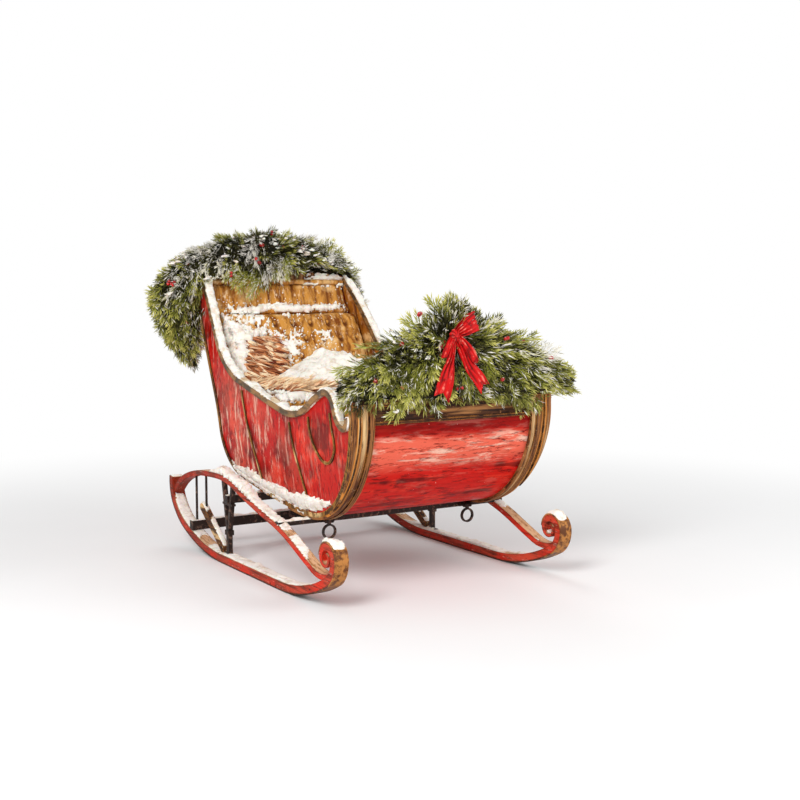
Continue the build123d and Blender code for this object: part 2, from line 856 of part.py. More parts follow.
def octagon(plane, middle_a, middle_b, half_a, half_b):
    """Corners of a rectangle whose own corners are cut off."""
    cut = min(half_a, half_b) / 2
    quarter = [(half_a, half_b - cut), (half_a - cut, half_b)]
    turned = [(-a, b) for a, b in reversed(quarter)]
    half = quarter + turned
    points = half + [(-a, -b) for a, b in half]
    return [plane.from_local_coords((middle_a + a, middle_b + b)) for a, b in points]


def faceted(stations, plane_at):
    """A solid with flat faces between octagons at its stations."""
    rings = [octagon(plane_at(along), *sizes) for along, *sizes in stations]
    faces = [Face(Wire.make_polygon(ring)) for ring in (rings[0], rings[-1])]
    for ring, following in zip(rings, rings[1:]):
        for n in range(len(ring)):
            corners = [ring[n - 1], ring[n], following[n], following[n - 1]]
            faces.append(Face(Wire.make_polygon(corners)))
    return Solid(Shell(faces))


# The back's outline, the crest and the arm rails, with the soft gap round them
with BuildPart() as crest_block:
    with BuildSketch(Plane.YZ.offset(crest_rear_x - soft_gap)):
        with BuildLine():
            draw_crest()
        make_face()
        offset(amount=soft_gap)
    extrude(amount=crest_t + 2 * soft_gap)
    with BuildSketch(right_plane(-half_width)):
        with BuildLine():
            draw_side()
        make_face()
        with BuildLine():
            draw_keel()
            offset(amount=soft_gap, side=Side.RIGHT)
        make_face()
        with BuildLine():
            draw_rim()
            offset(amount=arm_rail_h + soft_gap, side=Side.LEFT)
        make_face()
    extrude(amount=2 * half_width)
    add(past_sides, mode=Mode.SUBTRACT)

crest_rows = [(y, x, top_z + rise, *halves) for y, x, rise, *halves in crest_stations]
hanging_rows = [(top_z + rise, x, y * half_width, *halves) for rise, x, y, *halves in hanging_stations]
dash_rows = [(y, x, dash_top_z + rise, *halves) for y, x, rise, *halves in dash_stations]
with BuildPart() as back_garland:
    add(faceted(crest_rows, across))
    add(faceted(hanging_rows, Plane.XY.offset))
    add(crest_block.part, mode=Mode.SUBTRACT)
save(back_garland.part, "back_garland")

with BuildPart() as dash_garland:
    add(faceted(dash_rows, across))
    add(trim_box(-far, dash_x + 26, 0, dash_top_z + dash_cap_h + soft_gap), mode=Mode.SUBTRACT)
save(dash_garland.part, "dash_garland")

# Bow: two loops, a knot and three tails, as one flat body on the garland's front
bow_rear_x = max(x + half_x for _, x, _, half_x, _ in dash_stations) + soft_gap
with BuildPart() as bow:
    with BuildSketch(Plane.YZ.offset(bow_rear_x)):
        with Locations((0, dash_top_z)):
            for outline in bow_outlines:
                Polygon(*outline, align=None)
        with Locations((bow_knot[0], dash_top_z + bow_knot[1])):
            Circle(bow_knot_r)
    extrude(amount=garland_reach - bow_rear_x)
save(bow.part, "bow")
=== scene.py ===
import json
import math

import bmesh
import bpy
import numpy as np
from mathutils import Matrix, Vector, noise
from mathutils.bvhtree import BVHTree


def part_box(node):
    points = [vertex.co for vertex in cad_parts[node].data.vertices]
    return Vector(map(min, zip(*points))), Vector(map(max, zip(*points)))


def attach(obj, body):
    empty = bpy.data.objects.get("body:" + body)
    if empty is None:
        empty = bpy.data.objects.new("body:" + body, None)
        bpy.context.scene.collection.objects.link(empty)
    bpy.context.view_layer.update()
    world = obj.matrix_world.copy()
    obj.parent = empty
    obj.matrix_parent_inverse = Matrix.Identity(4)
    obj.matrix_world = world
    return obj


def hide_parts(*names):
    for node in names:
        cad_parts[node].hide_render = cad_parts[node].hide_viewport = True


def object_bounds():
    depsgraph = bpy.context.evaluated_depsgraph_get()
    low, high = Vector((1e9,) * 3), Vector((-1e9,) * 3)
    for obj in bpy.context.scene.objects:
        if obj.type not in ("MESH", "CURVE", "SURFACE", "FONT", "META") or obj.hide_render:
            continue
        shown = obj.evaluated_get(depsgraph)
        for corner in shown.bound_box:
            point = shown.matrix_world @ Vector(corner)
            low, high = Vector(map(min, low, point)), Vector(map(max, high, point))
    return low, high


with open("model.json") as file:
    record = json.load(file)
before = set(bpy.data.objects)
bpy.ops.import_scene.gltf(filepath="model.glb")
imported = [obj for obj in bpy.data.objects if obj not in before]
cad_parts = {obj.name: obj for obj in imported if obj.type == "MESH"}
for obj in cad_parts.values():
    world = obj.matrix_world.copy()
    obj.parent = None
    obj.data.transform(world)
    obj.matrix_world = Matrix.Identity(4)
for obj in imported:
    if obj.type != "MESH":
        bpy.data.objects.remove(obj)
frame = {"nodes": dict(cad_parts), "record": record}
cad_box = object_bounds()
scene = bpy.context.scene
nodes = frame["nodes"]
BODY = "sleigh"
UP, DOWN, BACKWARD = Vector((0, 0, 1)), Vector((0, 0, -1)), Vector((-1, 0, 0))

# Camera, from a fit of the sleigh's outline in the photograph, which is 800 by 800 pixels
CAMERA_AT = Vector((5.1769, -2.9598, 1.3287))
CAMERA_TOWARDS = Vector((-0.84392, 0.52817, -0.09399))
CAMERA_LENS, SENSOR = 55.53, 36.0
MIDDLE = 400
FOCAL = 2 * MIDDLE * CAMERA_LENS / SENSOR

# How far greenery may reach past the CAD's box
MARGIN = np.array((0.05, 0.04, 0.05))
REACH_LOW, REACH_HIGH = np.array(cad_box[0]) - MARGIN, np.array(cad_box[1]) + MARGIN


def linear(red, green, blue):
    """A linear colour from 0 to 255 screen values."""
    scaled = [c / 255 for c in (red, green, blue)]
    return [c / 12.92 if c <= 0.04045 else ((c + 0.055) / 1.055) ** 2.4 for c in scaled] + [1.0]


# Colours, as they are seen
RED, BRIGHT_RED, CRIMSON = linear(190, 16, 9), linear(220, 46, 28), linear(104, 4, 2)
CHERRY, SALMON, FROST = linear(204, 24, 14), linear(232, 108, 84), linear(236, 194, 172)
SNOW, SNOW_SHADE = linear(246, 241, 232), linear(222, 208, 190)
CORAL, RUST_RED, EDGE_BROWN = linear(204, 74, 52), linear(112, 42, 26), linear(70, 30, 20)
CREAM, HIGHLIGHT_CREAM, OLIVE = linear(228, 206, 174), linear(216, 178, 138), linear(96, 76, 44)
LINE_DARK, LINE_PALE = linear(74, 56, 34), linear(158, 118, 74)
TAN, PALE_TAN, GOLD = linear(168, 112, 62), linear(218, 180, 128), linear(206, 130, 50)
DARK_BROWN, MID_BROWN = linear(50, 28, 17), linear(108, 69, 41)
OCHRE, DEEP_OCHRE, PALE_OCHRE = linear(204, 142, 62), linear(122, 62, 10), linear(230, 186, 124)
CREASE_SHADE, SHADED_OCHRE, DEEP_SHADE = linear(92, 42, 8), linear(168, 100, 26), linear(112, 56, 8)
IRON, IRON_SHEEN, RUST = linear(42, 29, 24), linear(118, 92, 78), linear(112, 60, 36)
SCROLL_BROWN, SCROLL_GOLD = linear(104, 58, 26), linear(196, 132, 66)
LEAF, LEAF_TIP, LEAF_DARK = linear(126, 130, 44), linear(226, 218, 122), linear(17, 18, 7)
TWIG, MOSS, BERRY = linear(82, 52, 30), linear(52, 46, 20), linear(206, 22, 16)
RIBBON, RIBBON_DARK, RIBBON_SHEEN = linear(200, 12, 14), linear(104, 6, 6), linear(240, 120, 104)
FUR, FUR_DARK, FUR_PALE = linear(218, 142, 88), linear(108, 40, 18), linear(253, 230, 192)


class Paint:
    """Builds one procedural material in object coordinates, which are metres."""

    def __init__(self, name, **shader):
        self.material = bpy.data.materials.new(name)
        self.material.use_nodes = True
        self.tree = self.material.node_tree
        self.shader = self.tree.nodes["Principled BSDF"]
        for socket, value in shader.items():
            self.shader.inputs[socket.replace("_", " ")].default_value = value
        self.place = self.node("ShaderNodeTexCoord").outputs["Object"]

    def node(self, kind, inputs=None, **settings):
        made = self.tree.nodes.new(kind)
        for key, value in settings.items():
            setattr(made, key, value)
        for key, value in (inputs or {}).items():
            if isinstance(value, bpy.types.NodeSocket):
                self.tree.links.new(value, made.inputs[key])
            else:
                made.inputs[key].default_value = value
        return made

    def noise(self, scale, detail=4.0, rough=0.55, twist=0.0, place=None):
        inputs = {"Vector": place or self.place, "Scale": scale, "Detail": detail}
        inputs.update({"Roughness": rough, "Distortion": twist})
        return self.node("ShaderNodeTexNoise", inputs).outputs["Fac"]

    def streaks(self, scales, detail, rough, twist=0.0, finer=1.0):
        """Noise with its own scale along each axis."""
        inputs = {0: self.place, 3: [scale * finer for scale in scales]}
        place = self.node("ShaderNodeMapping", inputs).outputs[0]
        return self.noise(1.0, detail, rough, twist, place)

    def cells(self, scale):
        inputs = {"Vector": self.place, "Scale": scale}
        return self.node("ShaderNodeTexVoronoi", inputs).outputs["Distance"]

    def level(self, value, low, high, to_low=0.0, to_high=1.0):
        inputs = {0: value, 1: low, 2: high, 3: to_low, 4: to_high}
        return self.node("ShaderNodeMapRange", inputs, interpolation_type="SMOOTHSTEP").outputs[0]

    def patches(self, texture, *levels):
        return self.level(self.noise(*texture), *levels)

    def math(self, operation, a, b=0.0):
        return self.node("ShaderNodeMath", {0: a, 1: b}, operation=operation).outputs[0]

    def times(self, a, b):
        return self.math("MULTIPLY", a, b)

    def plus(self, a, b):
        return self.math("ADD", a, b)

    def mix(self, factor, a, b):
        return self.node("ShaderNodeMix", {0: factor, 6: a, 7: b}, data_type="RGBA").outputs[2]

    def start(self, factor, a, b):
        """The first coat, between two colours."""
        self.colour = self.mix(factor, a, b)

    def over(self, factor, colour, share=None):
        """Lays a colour over what is there, where the factor says."""
        factor = factor if share is None else self.times(factor, share)
        self.colour = self.mix(factor, self.colour, colour)

    def axis(self, name):
        return self.node("ShaderNodeSeparateXYZ", {0: self.place}).outputs[name]

    def normal(self):
        return self.node("ShaderNodeNewGeometry").outputs["Normal"]

    def facing(self, axis):
        return self.node("ShaderNodeSeparateXYZ", {0: self.normal()}).outputs[axis]

    def edges(self, radius):
        """1 on sharp edges, 0 away from them."""
        rounded = self.node("ShaderNodeBevel", {"Radius": radius}, samples=4).outputs[0]
        inputs = {0: rounded, 1: self.normal()}
        turn = self.node("ShaderNodeVectorMath", inputs, operation="DOT_PRODUCT").outputs["Value"]
        return self.level(turn, 0.99, 0.88)

    def edge_wear_and_highlight(self, radius, size, low, high, colour, share):
        """Edges turned to another colour, in patches: worn paint on the wood, and a painted
        highlight on the iron.
        """
        self.over(self.times(self.edges(radius), self.patches((size, 4), low, high)), colour, share)

    def attribute(self, name):
        return self.node("ShaderNodeAttribute", attribute_name=name).outputs["Fac"]

    def flecks(self, size, share):
        """Settled flakes of snow, thicker in some places than in others."""
        large = self.patches((size, 4, 0.8), 0.8 - share, 0.82 - share)
        self.over(large, SNOW, self.patches((size * 0.16, 3), 0.45, 0.62))
        self.over(self.patches((size * 2.6, 2, 0.6), 0.82 - share, 0.86 - share), SNOW, 0.85)

    def done(self, rough, height=None, depth=0.001, strength=0.6):
        """The finished material: roughness as level's values, and relief in metres."""
        self.tree.links.new(self.colour, self.shader.inputs["Base Color"])
        self.tree.links.new(self.level(*rough), self.shader.inputs["Roughness"])
        if height is not None:
            inputs = {"Height": height, "Strength": strength, "Distance": depth}
            bump = self.node("ShaderNodeBump", inputs).outputs["Normal"]
            self.tree.links.new(bump, self.shader.inputs["Normal"])
        return self.material


def red_paint(name, streak, sheen=False):
    """Red paint with dark brush strokes, frosted scuffs and settled flakes of snow; on the dash, a
    painted highlight across the upper middle with the frosted strokes gathered in it, and darker
    crimson towards the top edge.
    """
    paint = Paint(name, IOR=1.18, Specular_IOR_Level=0.4, Coat_Weight=0.04, Coat_Roughness=0.2)
    strokes = paint.streaks(streak, 6, 0.72, 0.3)
    thin = paint.streaks(streak, 5, 0.75, 0.4, finer=2.4)
    paint.start(paint.patches((5.5, 5, 0.6), 0.36, 0.58), CRIMSON, RED)
    paint.over(paint.patches((7.0, 3), 0.5, 0.66), BRIGHT_RED)
    height = paint.axis("Z")
    if sheen:
        # Painted highlight: a pale salmon zone across the dash's upper middle stands in for a
        # reflection; darker crimson towards the top edge.
        wave = paint.plus(height, paint.times(paint.noise(4.0, 2), 0.06))
        highlight_band = paint.times(paint.level(wave, 0.55, 0.64), paint.level(wave, 0.74, 0.69))
        where = paint.math("MAXIMUM", highlight_band, 0.1)
        strip = paint.streaks((1.5, 1.6, 30.0), 4, 0.6)
        paint.over(paint.level(strip, 0.42, 0.56), CHERRY)
        paint.over(paint.level(strip, 0.44, 0.36, 0.0, 0.75), CRIMSON)
        paint.over(highlight_band, SALMON, 0.85)
        paint.over(paint.level(wave, 0.71, 0.75, 0.0, 0.7), CRIMSON)
    else:
        rearward = paint.level(paint.axis("X"), 0.55, -0.15, 0.2, 1.0)
        where = paint.times(rearward, paint.level(height, 1.15, 0.55, 0.3, 1.0))
        paint.over(where, SALMON, paint.patches((4.5, 4), 0.42, 0.62, 0.0, 0.5))
    paint.over(paint.level(thin, 0.48, 0.37, 0.0, 0.9), CRIMSON)
    paint.over(paint.times(paint.level(strokes, 0.5, 0.64), where), FROST, 0.9)
    paint.flecks(42.0, 0.07)
    relief = paint.plus(strokes, paint.times(thin, 0.5))
    return paint.done((strokes, 0.35, 0.65, 0.34, 0.6), relief, 0.0012, 0.5)


def runner_paint(name):
    """Coral paint, darker brown towards the rear, with a painted highlight of tan to cream on the
    upper faces.
    """
    paint = Paint(name, IOR=1.18, Specular_IOR_Level=0.4, Coat_Weight=0.03)
    grain = paint.streaks((4, 70, 60), 5, 0.65)
    paint.start(paint.level(grain, 0.36, 0.56), RUST_RED, CORAL)
    paint.over(paint.patches((7.0, 4), 0.46, 0.62, 0.0, 0.8), BRIGHT_RED)
    rear = paint.level(paint.axis("X"), 0.1, -0.6, 0.1, 0.7)
    paint.over(rear, RUST_RED, paint.patches((11.0, 4), 0.3, 0.55))
    paint.over(paint.level(paint.streaks((14, 40, 60), 6, 0.75), 0.58, 0.7, 0.0, 0.7), FROST)
    # Painted highlight: faces turned upward go tan to cream, as if lit from above.
    rubbed = paint.mix(paint.level(grain, 0.34, 0.56), TAN, HIGHLIGHT_CREAM)
    paint.over(paint.level(paint.facing("Z"), 0.45, 0.75, 0.0, 0.92), rubbed)
    paint.over(paint.patches((48.0, 4, 0.7), 0.62, 0.68), DARK_BROWN)
    lines = paint.streaks((3, 120, 120), 4, 0.7)
    paint.over(paint.level(lines, 0.4, 0.34, 0.0, 0.85), DARK_BROWN)
    paint.edge_wear_and_highlight(0.007, 9.0, 0.36, 0.5, EDGE_BROWN, 0.85)
    paint.flecks(46.0, 0.06)
    return paint.done((grain, 0.3, 0.7, 0.4, 0.62), grain, 0.0015, 0.5)


def streaked_wood(name, streak, pale, mid, dark, grooves=(), shaded=False):
    """Weathered wood with dark lengthwise streaks, rubbed pale spots and dark grooves, and when
    shaded, painted shade on the faces turned forward.
    """
    paint = Paint(name, Specular_IOR_Level=0.14)
    fine = paint.streaks(streak, 6, 0.7, 0.6)
    paint.start(paint.level(fine, 0.42, 0.57), dark, mid)
    paint.over(paint.level(paint.streaks(streak, 3, 0.5, finer=0.35), 0.52, 0.66), pale)
    cracks = paint.level(paint.streaks(streak, 4, 0.8, finer=1.7), 0.44, 0.36)
    paint.over(cracks, DARK_BROWN)
    paint.over(paint.patches((42.0, 5, 0.75), 0.6, 0.7, 0.0, 0.8), pale)
    away = paint.math("ABSOLUTE", paint.axis("Y"))
    for middle, width, line in grooves:
        near = paint.math("ABSOLUTE", paint.math("SUBTRACT", away, middle))
        paint.over(paint.level(near, width, width * 0.6), line)
    paint.edge_wear_and_highlight(0.005, 14.0, 0.4, 0.54, GOLD, 0.8)
    # Painted shade: faces turned forward go dark brown, leaving the rearward side pale as a painted
    # highlight.
    if shaded:
        paint.over(paint.level(paint.facing("X"), 0.05, 0.5, 0.0, 0.85), DARK_BROWN)
    paint.flecks(60.0, 0.05)
    relief = paint.math("SUBTRACT", fine, cracks)
    return paint.done((fine, 0.3, 0.7, 0.5, 0.8), relief, 0.002, 0.7)


def cream_paint(name):
    """Cream moulding with a brown line along its sides, frost and rubbed patches."""
    paint = Paint(name, Specular_IOR_Level=0.3)
    strokes = paint.streaks((9, 60, 26), 5, 0.6)
    side = paint.mix(paint.level(strokes, 0.38, 0.6), LINE_DARK, LINE_PALE)
    top = paint.mix(paint.level(strokes, 0.36, 0.52), PALE_TAN, CREAM)
    up = paint.math("MAXIMUM", paint.facing("Z"), paint.times(paint.facing("X"), 0.9))
    paint.start(paint.level(up, 0.25, 0.6), side, top)
    paint.over(paint.edges(0.006), paint.mix(0.5, OLIVE, DARK_BROWN), 0.8)
    worn = paint.patches((16.0, 4, 0.6), 0.58, 0.68, 0.0, 0.6)
    paint.over(worn, TAN, paint.level(up, 0.2, 0.6))
    frost = paint.patches((30.0, 4, 0.6), 0.54, 0.64)
    paint.over(frost, SNOW, paint.level(up, -0.1, 0.6))
    return paint.done((strokes, 0.3, 0.7, 0.45, 0.7), strokes, 0.0012, 0.5)


def leather(name, low, deep, frosted):
    """Buttoned leather with painted shade in its pressed seams and button hollows, pale rubbed
    crowns, fine grain and frost.
    """
    paint = Paint(name, Specular_IOR_Level=0.14)
    strokes = paint.streaks((14, 30, 7), 5, 0.7, 0.4)
    paint.start(paint.level(strokes, 0.36, 0.58), deep, low)
    paint.over(paint.patches((9.0, 4, 0.6), 0.5, 0.66, 0.0, 0.8), PALE_OCHRE)
    # Painted shade: the pressed seams and button hollows are darkened.
    paint.over(paint.level(paint.attribute("hollow"), 0.08, 0.75, 0.0, 0.92), CREASE_SHADE)
    dust = paint.streaks((34, 46, 16), 5, 0.75)
    paint.over(paint.level(dust, 0.56, 0.66, 0.0, frosted), FUR_PALE)
    paint.flecks(60.0, 0.06)
    relief = paint.plus(paint.times(strokes, 0.5), paint.cells(420.0))
    return paint.done((strokes, 0.3, 0.7, 0.45, 0.65), relief, 0.0006, 0.5)


def iron(name, base, worn, rust_share, golden=False):
    """Blackened iron mottled paler, with edges lightened partly as rubbed metal and partly as a
    painted highlight, rust spots and frost, gold-brown on the scroll.
    """
    paint = Paint(name, Metallic=0.25, Specular_IOR_Level=0.3)
    forged = paint.noise(38.0, 5, 0.65)
    paint.start(paint.level(forged, 0.52, 0.66), base, worn)
    paint.over(paint.patches((24.0, 5, 0.75), 0.68 - rust_share, 0.78 - rust_share), RUST)
    # Painted highlight, partly rubbed metal: edges lightened to the paler colour.
    paint.edge_wear_and_highlight(0.003, 20.0, 0.42, 0.56, worn, 0.7)
    if golden:
        ahead, above = paint.axis("X"), paint.axis("Z")
        scroll = paint.times(paint.level(ahead, 0.66, 0.84), paint.level(above, 0.03, 0.14))
        stained = paint.mix(paint.level(forged, 0.42, 0.58), SCROLL_BROWN, SCROLL_GOLD)
        paint.over(scroll, stained, 0.9)
    paint.flecks(70.0, 0.04)
    return paint.done((forged, 0.3, 0.7, 0.42, 0.7), forged, 0.0012, 0.6)


def snow_paint(name):
    """Soft snow, mottled with a darker cream, and with wind-drawn streaks of it."""
    paint = Paint(name, Subsurface_Weight=0.12, Subsurface_Scale=0.01, Specular_IOR_Level=0.2)
    soft = paint.noise(26.0, 5, 0.6)
    drawn = paint.streaks((46, 20, 46), 5, 0.7, 0.5)
    paint.start(paint.level(soft, 0.34, 0.5), SNOW_SHADE, SNOW)
    paint.over(paint.level(drawn, 0.44, 0.34, 0.0, 0.7), SNOW_SHADE)
    relief = paint.plus(soft, paint.plus(drawn, paint.times(paint.noise(330.0, 3, 0.8), 0.25)))
    return paint.done((soft, 0.3, 0.7, 0.75, 0.95), relief, 0.004, 0.6)


def evergreen(name):
    """Needles from dark to yellow-green tips, some of them frosted; their tone carries painted
    shade, darker deeper in the garland.
    """
    paint = Paint(name, Specular_IOR_Level=0.12)
    tone = paint.attribute("tone")
    paint.start(paint.level(tone, 0.2, 0.64), LEAF_DARK, LEAF)
    fresh = paint.level(paint.attribute("tip"), 0.3, 0.95)
    paint.over(fresh, LEAF_TIP, paint.level(tone, 0.3, 0.8, 0.15, 1.0))
    paint.over(paint.patches((7.0, 3), 0.5, 0.66, 0.0, 0.6), LEAF_DARK)
    paint.over(paint.attribute("frost"), SNOW)
    ribs = paint.noise(260.0, 3)
    return paint.done((ribs, 0.3, 0.7, 0.5, 0.75), ribs, 0.0006, 0.4)


def shade_tangle(name):
    """Twigs deep inside the greenery, painted near-black as painted shade."""
    paint = Paint(name, Specular_IOR_Level=0.2)
    knots = paint.noise(55.0, 6, 0.75, 1.2)
    paint.start(paint.level(knots, 0.4, 0.62), LEAF_DARK, MOSS)
    paint.over(paint.patches((30.0, 5, 0.8), 0.58, 0.7), TWIG)
    return paint.done((knots, 0.3, 0.7, 0.8, 0.95), knots, 0.02, 1.0)


def berry_skin(name):
    """Glossy berries mottled with darker red, and a bloom of frost on their upper sides."""
    paint = Paint(name, Coat_Weight=0.3, Coat_Roughness=0.15)
    mottle = paint.noise(120.0, 4)
    paint.start(paint.level(mottle, 0.4, 0.65), BERRY, CRIMSON)
    upper = paint.level(paint.facing("Z"), 0.3, 0.95)
    paint.over(paint.times(paint.patches((90.0, 3), 0.5, 0.66), upper), SNOW, 0.8)
    return paint.done((mottle, 0.3, 0.7, 0.25, 0.45), mottle, 0.0005, 0.4)


def fur(name):
    """Shaggy locks from dark brown to cream."""
    paint = Paint(name, Sheen_Weight=0.1, Specular_IOR_Level=0.2)
    tone = paint.attribute("tone")
    paint.start(paint.level(tone, 0.05, 0.4), FUR_DARK, FUR)
    paint.over(paint.level(tone, 0.42, 0.85), FUR_PALE)
    hairs = paint.streaks((300, 60, 300), 4, 0.7)
    paint.over(paint.level(hairs, 0.44, 0.34, 0.0, 0.45), FUR_DARK)
    return paint.done((hairs, 0.3, 0.7, 0.7, 0.95), hairs, 0.001, 0.6)


def satin(name):
    """Red satin ribbon with painted shade in its pleat troughs and small creases, a painted
    highlight on the tops of its pleats, a fine weave and flecks of snow.
    """
    paint = Paint(name, Sheen_Weight=0.03, Sheen_Roughness=0.3, Specular_IOR_Level=0.15)
    creases, fold = paint.noise(26.0, 4, 0.6, 0.4), paint.attribute("fold")
    # Painted shade in the pleat troughs and noise-placed creases, painted highlight on the tops of
    # the pleats.
    paint.start(paint.level(fold, 0.0, 0.5, 0.1, 1.0), RIBBON_DARK, RIBBON)
    paint.over(paint.level(creases, 0.46, 0.36, 0.0, 0.7), RIBBON_DARK)
    highlight_tops = paint.level(fold, 0.62, 0.95)
    paint.over(highlight_tops, RIBBON_SHEEN, paint.patches((30.0, 4, 0.7), 0.46, 0.6))
    paint.flecks(60.0, 0.05)
    relief = paint.plus(creases, paint.times(paint.noise(700.0, 2), 0.12))
    return paint.done((creases, 0.3, 0.7, 0.35, 0.55), relief, 0.0012, 0.5)


# Lines along the corner bands: distance from the middle, half width and colour
BAND_GROOVES = (
    (0.4725, 0.0045, DARK_BROWN), (0.4295, 0.0045, DARK_BROWN),
    (0.482, 0.003, GOLD), (0.463, 0.002, GOLD),
)
BAND_TONES = PALE_TAN, linear(150, 98, 56), linear(74, 38, 20)
TRIM_TONES = linear(232, 196, 136), linear(150, 104, 48), linear(70, 46, 24)
DASH_TONES = linear(164, 112, 66), linear(84, 50, 30), linear(44, 24, 15)
PAINTS = {
    "red_paint": red_paint("red_paint_side", (30.0, 30.0, 7.0)),
    "runner_paint": runner_paint("runner_paint_worn"),
    "weathered_band": streaked_wood("band_wood", (5.0, 110.0, 5.0), *BAND_TONES, BAND_GROOVES),
    "gold_trim": streaked_wood("gold_moulding", (22.0, 60.0, 12.0), *TRIM_TONES, shaded=True),
    "cream_paint": cream_paint("cream_moulding"),
    "tan_leather": leather("buttoned_leather", OCHRE, DEEP_OCHRE, 0.6),
    "bare_wood": streaked_wood("oiled_wood", (9.0, 70.0, 70.0), PALE_TAN, MID_BROWN, DARK_BROWN),
    "dark_iron": iron("blackened_iron", IRON, IRON_SHEEN, 0.02),
    "rusty_iron": iron("rusty_strap_iron", DARK_BROWN, MID_BROWN, 0.12, golden=True),
    "evergreen": evergreen("evergreen_needles"),
    "shade_tangle": shade_tangle("evergreen_shade_tangle"),
    "berry": berry_skin("berry_skin"),
    "fur": fur("shaggy_throw"),
    "ribbon": satin("satin_ribbon"),
}
SPECIAL = {
    "dash_panel": red_paint("red_paint_dash", (5.0, 5.0, 34.0), sheen=True),
    "dash_board": streaked_wood("dash_wood", (6.0, 6.0, 110.0), *DASH_TONES),
}
SPECIAL["dash_cap"] = SPECIAL["dash_board"]
# A darker copy of the leather for the side pads: painted shade.
DARK_LEATHER = leather("shaded_leather", SHADED_OCHRE, DEEP_SHADE, 0.3)
SNOW_PAINT = snow_paint("settled_snow")


def cover(piece, paint):
    piece.data.materials.clear()
    piece.data.materials.append(paint)


for entry in frame["record"]["subparts"]:
    paint = SPECIAL.get(entry["node"]) or PAINTS.get(entry["material_slot"])
    if paint:
        cover(nodes[entry["node"]], paint)


# Numbers
def unit(vectors):
    vectors = np.asarray(vectors, dtype=float)
    return vectors / np.maximum(np.linalg.norm(vectors, axis=-1, keepdims=True), 1e-9)


def lumps(places, scale, seed=0):
    """Smooth noise from -1 to 1 for each place."""
    shift = Vector((seed * 5.3, seed * 2.1, 0))
    return np.array([noise.noise(Vector(place) * scale + shift) for place in places])


def step(values, low, high):
    """A smooth rise from 0 at low to 1 at high."""
    share = np.clip((values - low) / (high - low), 0, 1)
    return share * share * (3 - 2 * share)


def between(values, low, high, soft):
    return step(values, low - soft, low + soft) * (1 - step(values, high - soft, high + soft))


def smooth_line(points, count):
    """Evenly numbered points on a smooth line through some points."""
    points = np.asarray(points, dtype=float)
    ends = [2 * points[0] - points[1]], [2 * points[-1] - points[-2]]
    padded = np.concatenate([ends[0], points, ends[1]])
    spots = np.linspace(0, len(points) - 1, count)
    low = np.minimum(spots.astype(int), len(points) - 2)
    t = (spots - low)[:, None]
    a, b, c, d = (padded[low + n] for n in range(4))
    square, cube = (2 * a - 5 * b + 4 * c - d) * t**2, (3 * b - a - 3 * c + d) * t**3
    return 0.5 * (2 * b + (c - a) * t + square + cube)


# The picture's view
def photo_ray(pixel_x, pixel_y):
    """Direction from the camera through a pixel of the picture."""
    towards = CAMERA_TOWARDS.normalized()
    right = towards.cross(UP).normalized()
    up = right.cross(towards)
    across, down = right * (pixel_x - MIDDLE) / FOCAL, up * (pixel_y - MIDDLE) / FOCAL
    return (towards + across - down).normalized()


def pixels_of(places):
    """Where places lie in the picture."""
    towards = np.array(CAMERA_TOWARDS.normalized())
    right = unit(np.cross(towards, (0, 0, 1)))
    up = np.cross(right, towards)
    offset = places - np.array(CAMERA_AT)
    ahead = offset @ towards
    return MIDDLE + FOCAL * (offset @ right) / ahead, MIDDLE - FOCAL * (offset @ up) / ahead


def inside_distance(x, y, outline):
    """Distance from places in the picture to an outline, in pixels; below zero outside."""
    x, y = np.asarray(x, dtype=float), np.asarray(y, dtype=float)
    best, inside = np.full(x.shape, 1e9), np.zeros(x.shape, dtype=bool)
    for (ax, ay), (bx, by) in zip(outline, outline[1:] + outline[:1]):
        dx, dy = bx - ax, by - ay
        t = np.clip(((x - ax) * dx + (y - ay) * dy) / (dx * dx + dy * dy), 0, 1)
        best = np.minimum(best, np.hypot(x - ax - t * dx, y - ay - t * dy))
        if dy:
            inside ^= ((ay > y) != (by > y)) & (x < ax + (y - ay) * dx / dy)
    return np.where(inside, best, -best)


# Meshes
def read_out(items, key, kind=float):
    values = np.empty(len(items) * 3, dtype=kind)
    items.foreach_get(key, values)
    return values.reshape(-1, 3)


def coordinates(mesh):
    return read_out(mesh.vertices, "co")


def normals_of(mesh):
    return read_out(mesh.vertex_normals, "vector")


def triangles_of(mesh):
    mesh.calc_loop_triangles()
    return read_out(mesh.loop_triangles, "vertices", np.int32)


def put_coordinates(mesh, places):
    mesh.vertices.foreach_set("co", np.asarray(places, dtype=np.float32).ravel())
    mesh.update()


def put_values(mesh, key, values):
    """One number for each vertex, which a material reads by its name."""
    values = np.asarray(values, dtype=np.float32)
    mesh.attributes.new(key, "FLOAT", "POINT").data.foreach_set("value", values)


def joined(parts):
    """One set of vertices and faces from many."""
    vertices, faces, start = [], [], 0
    for points, corners in parts:
        vertices.append(points)
        faces.append(corners + start)
        start += len(points)
    return np.concatenate(vertices), np.concatenate(faces)


def array_tree(vertices, faces):
    return BVHTree.FromPolygons(vertices.tolist(), faces.tolist())


def surface_tree(*pieces):
    """A search tree over some pieces, or CAD nodes by their names."""
    meshes = [(nodes[piece] if isinstance(piece, str) else piece).data for piece in pieces]
    return array_tree(*joined((coordinates(mesh), triangles_of(mesh)) for mesh in meshes))


def depth_in(tree, point, limit=0.3):
    """How far a point is inside a closed surface; below zero outside."""
    place, normal, _, distance = tree.find_nearest(Vector(point), limit)
    if place is None:
        return -limit
    return distance if (Vector(point) - place).dot(normal) < 0 else -distance


def add_object(name, data):
    made = bpy.data.objects.new(name, data)
    scene.collection.objects.link(made)
    return made


def enlist(piece):
    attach(piece, BODY)
    return piece


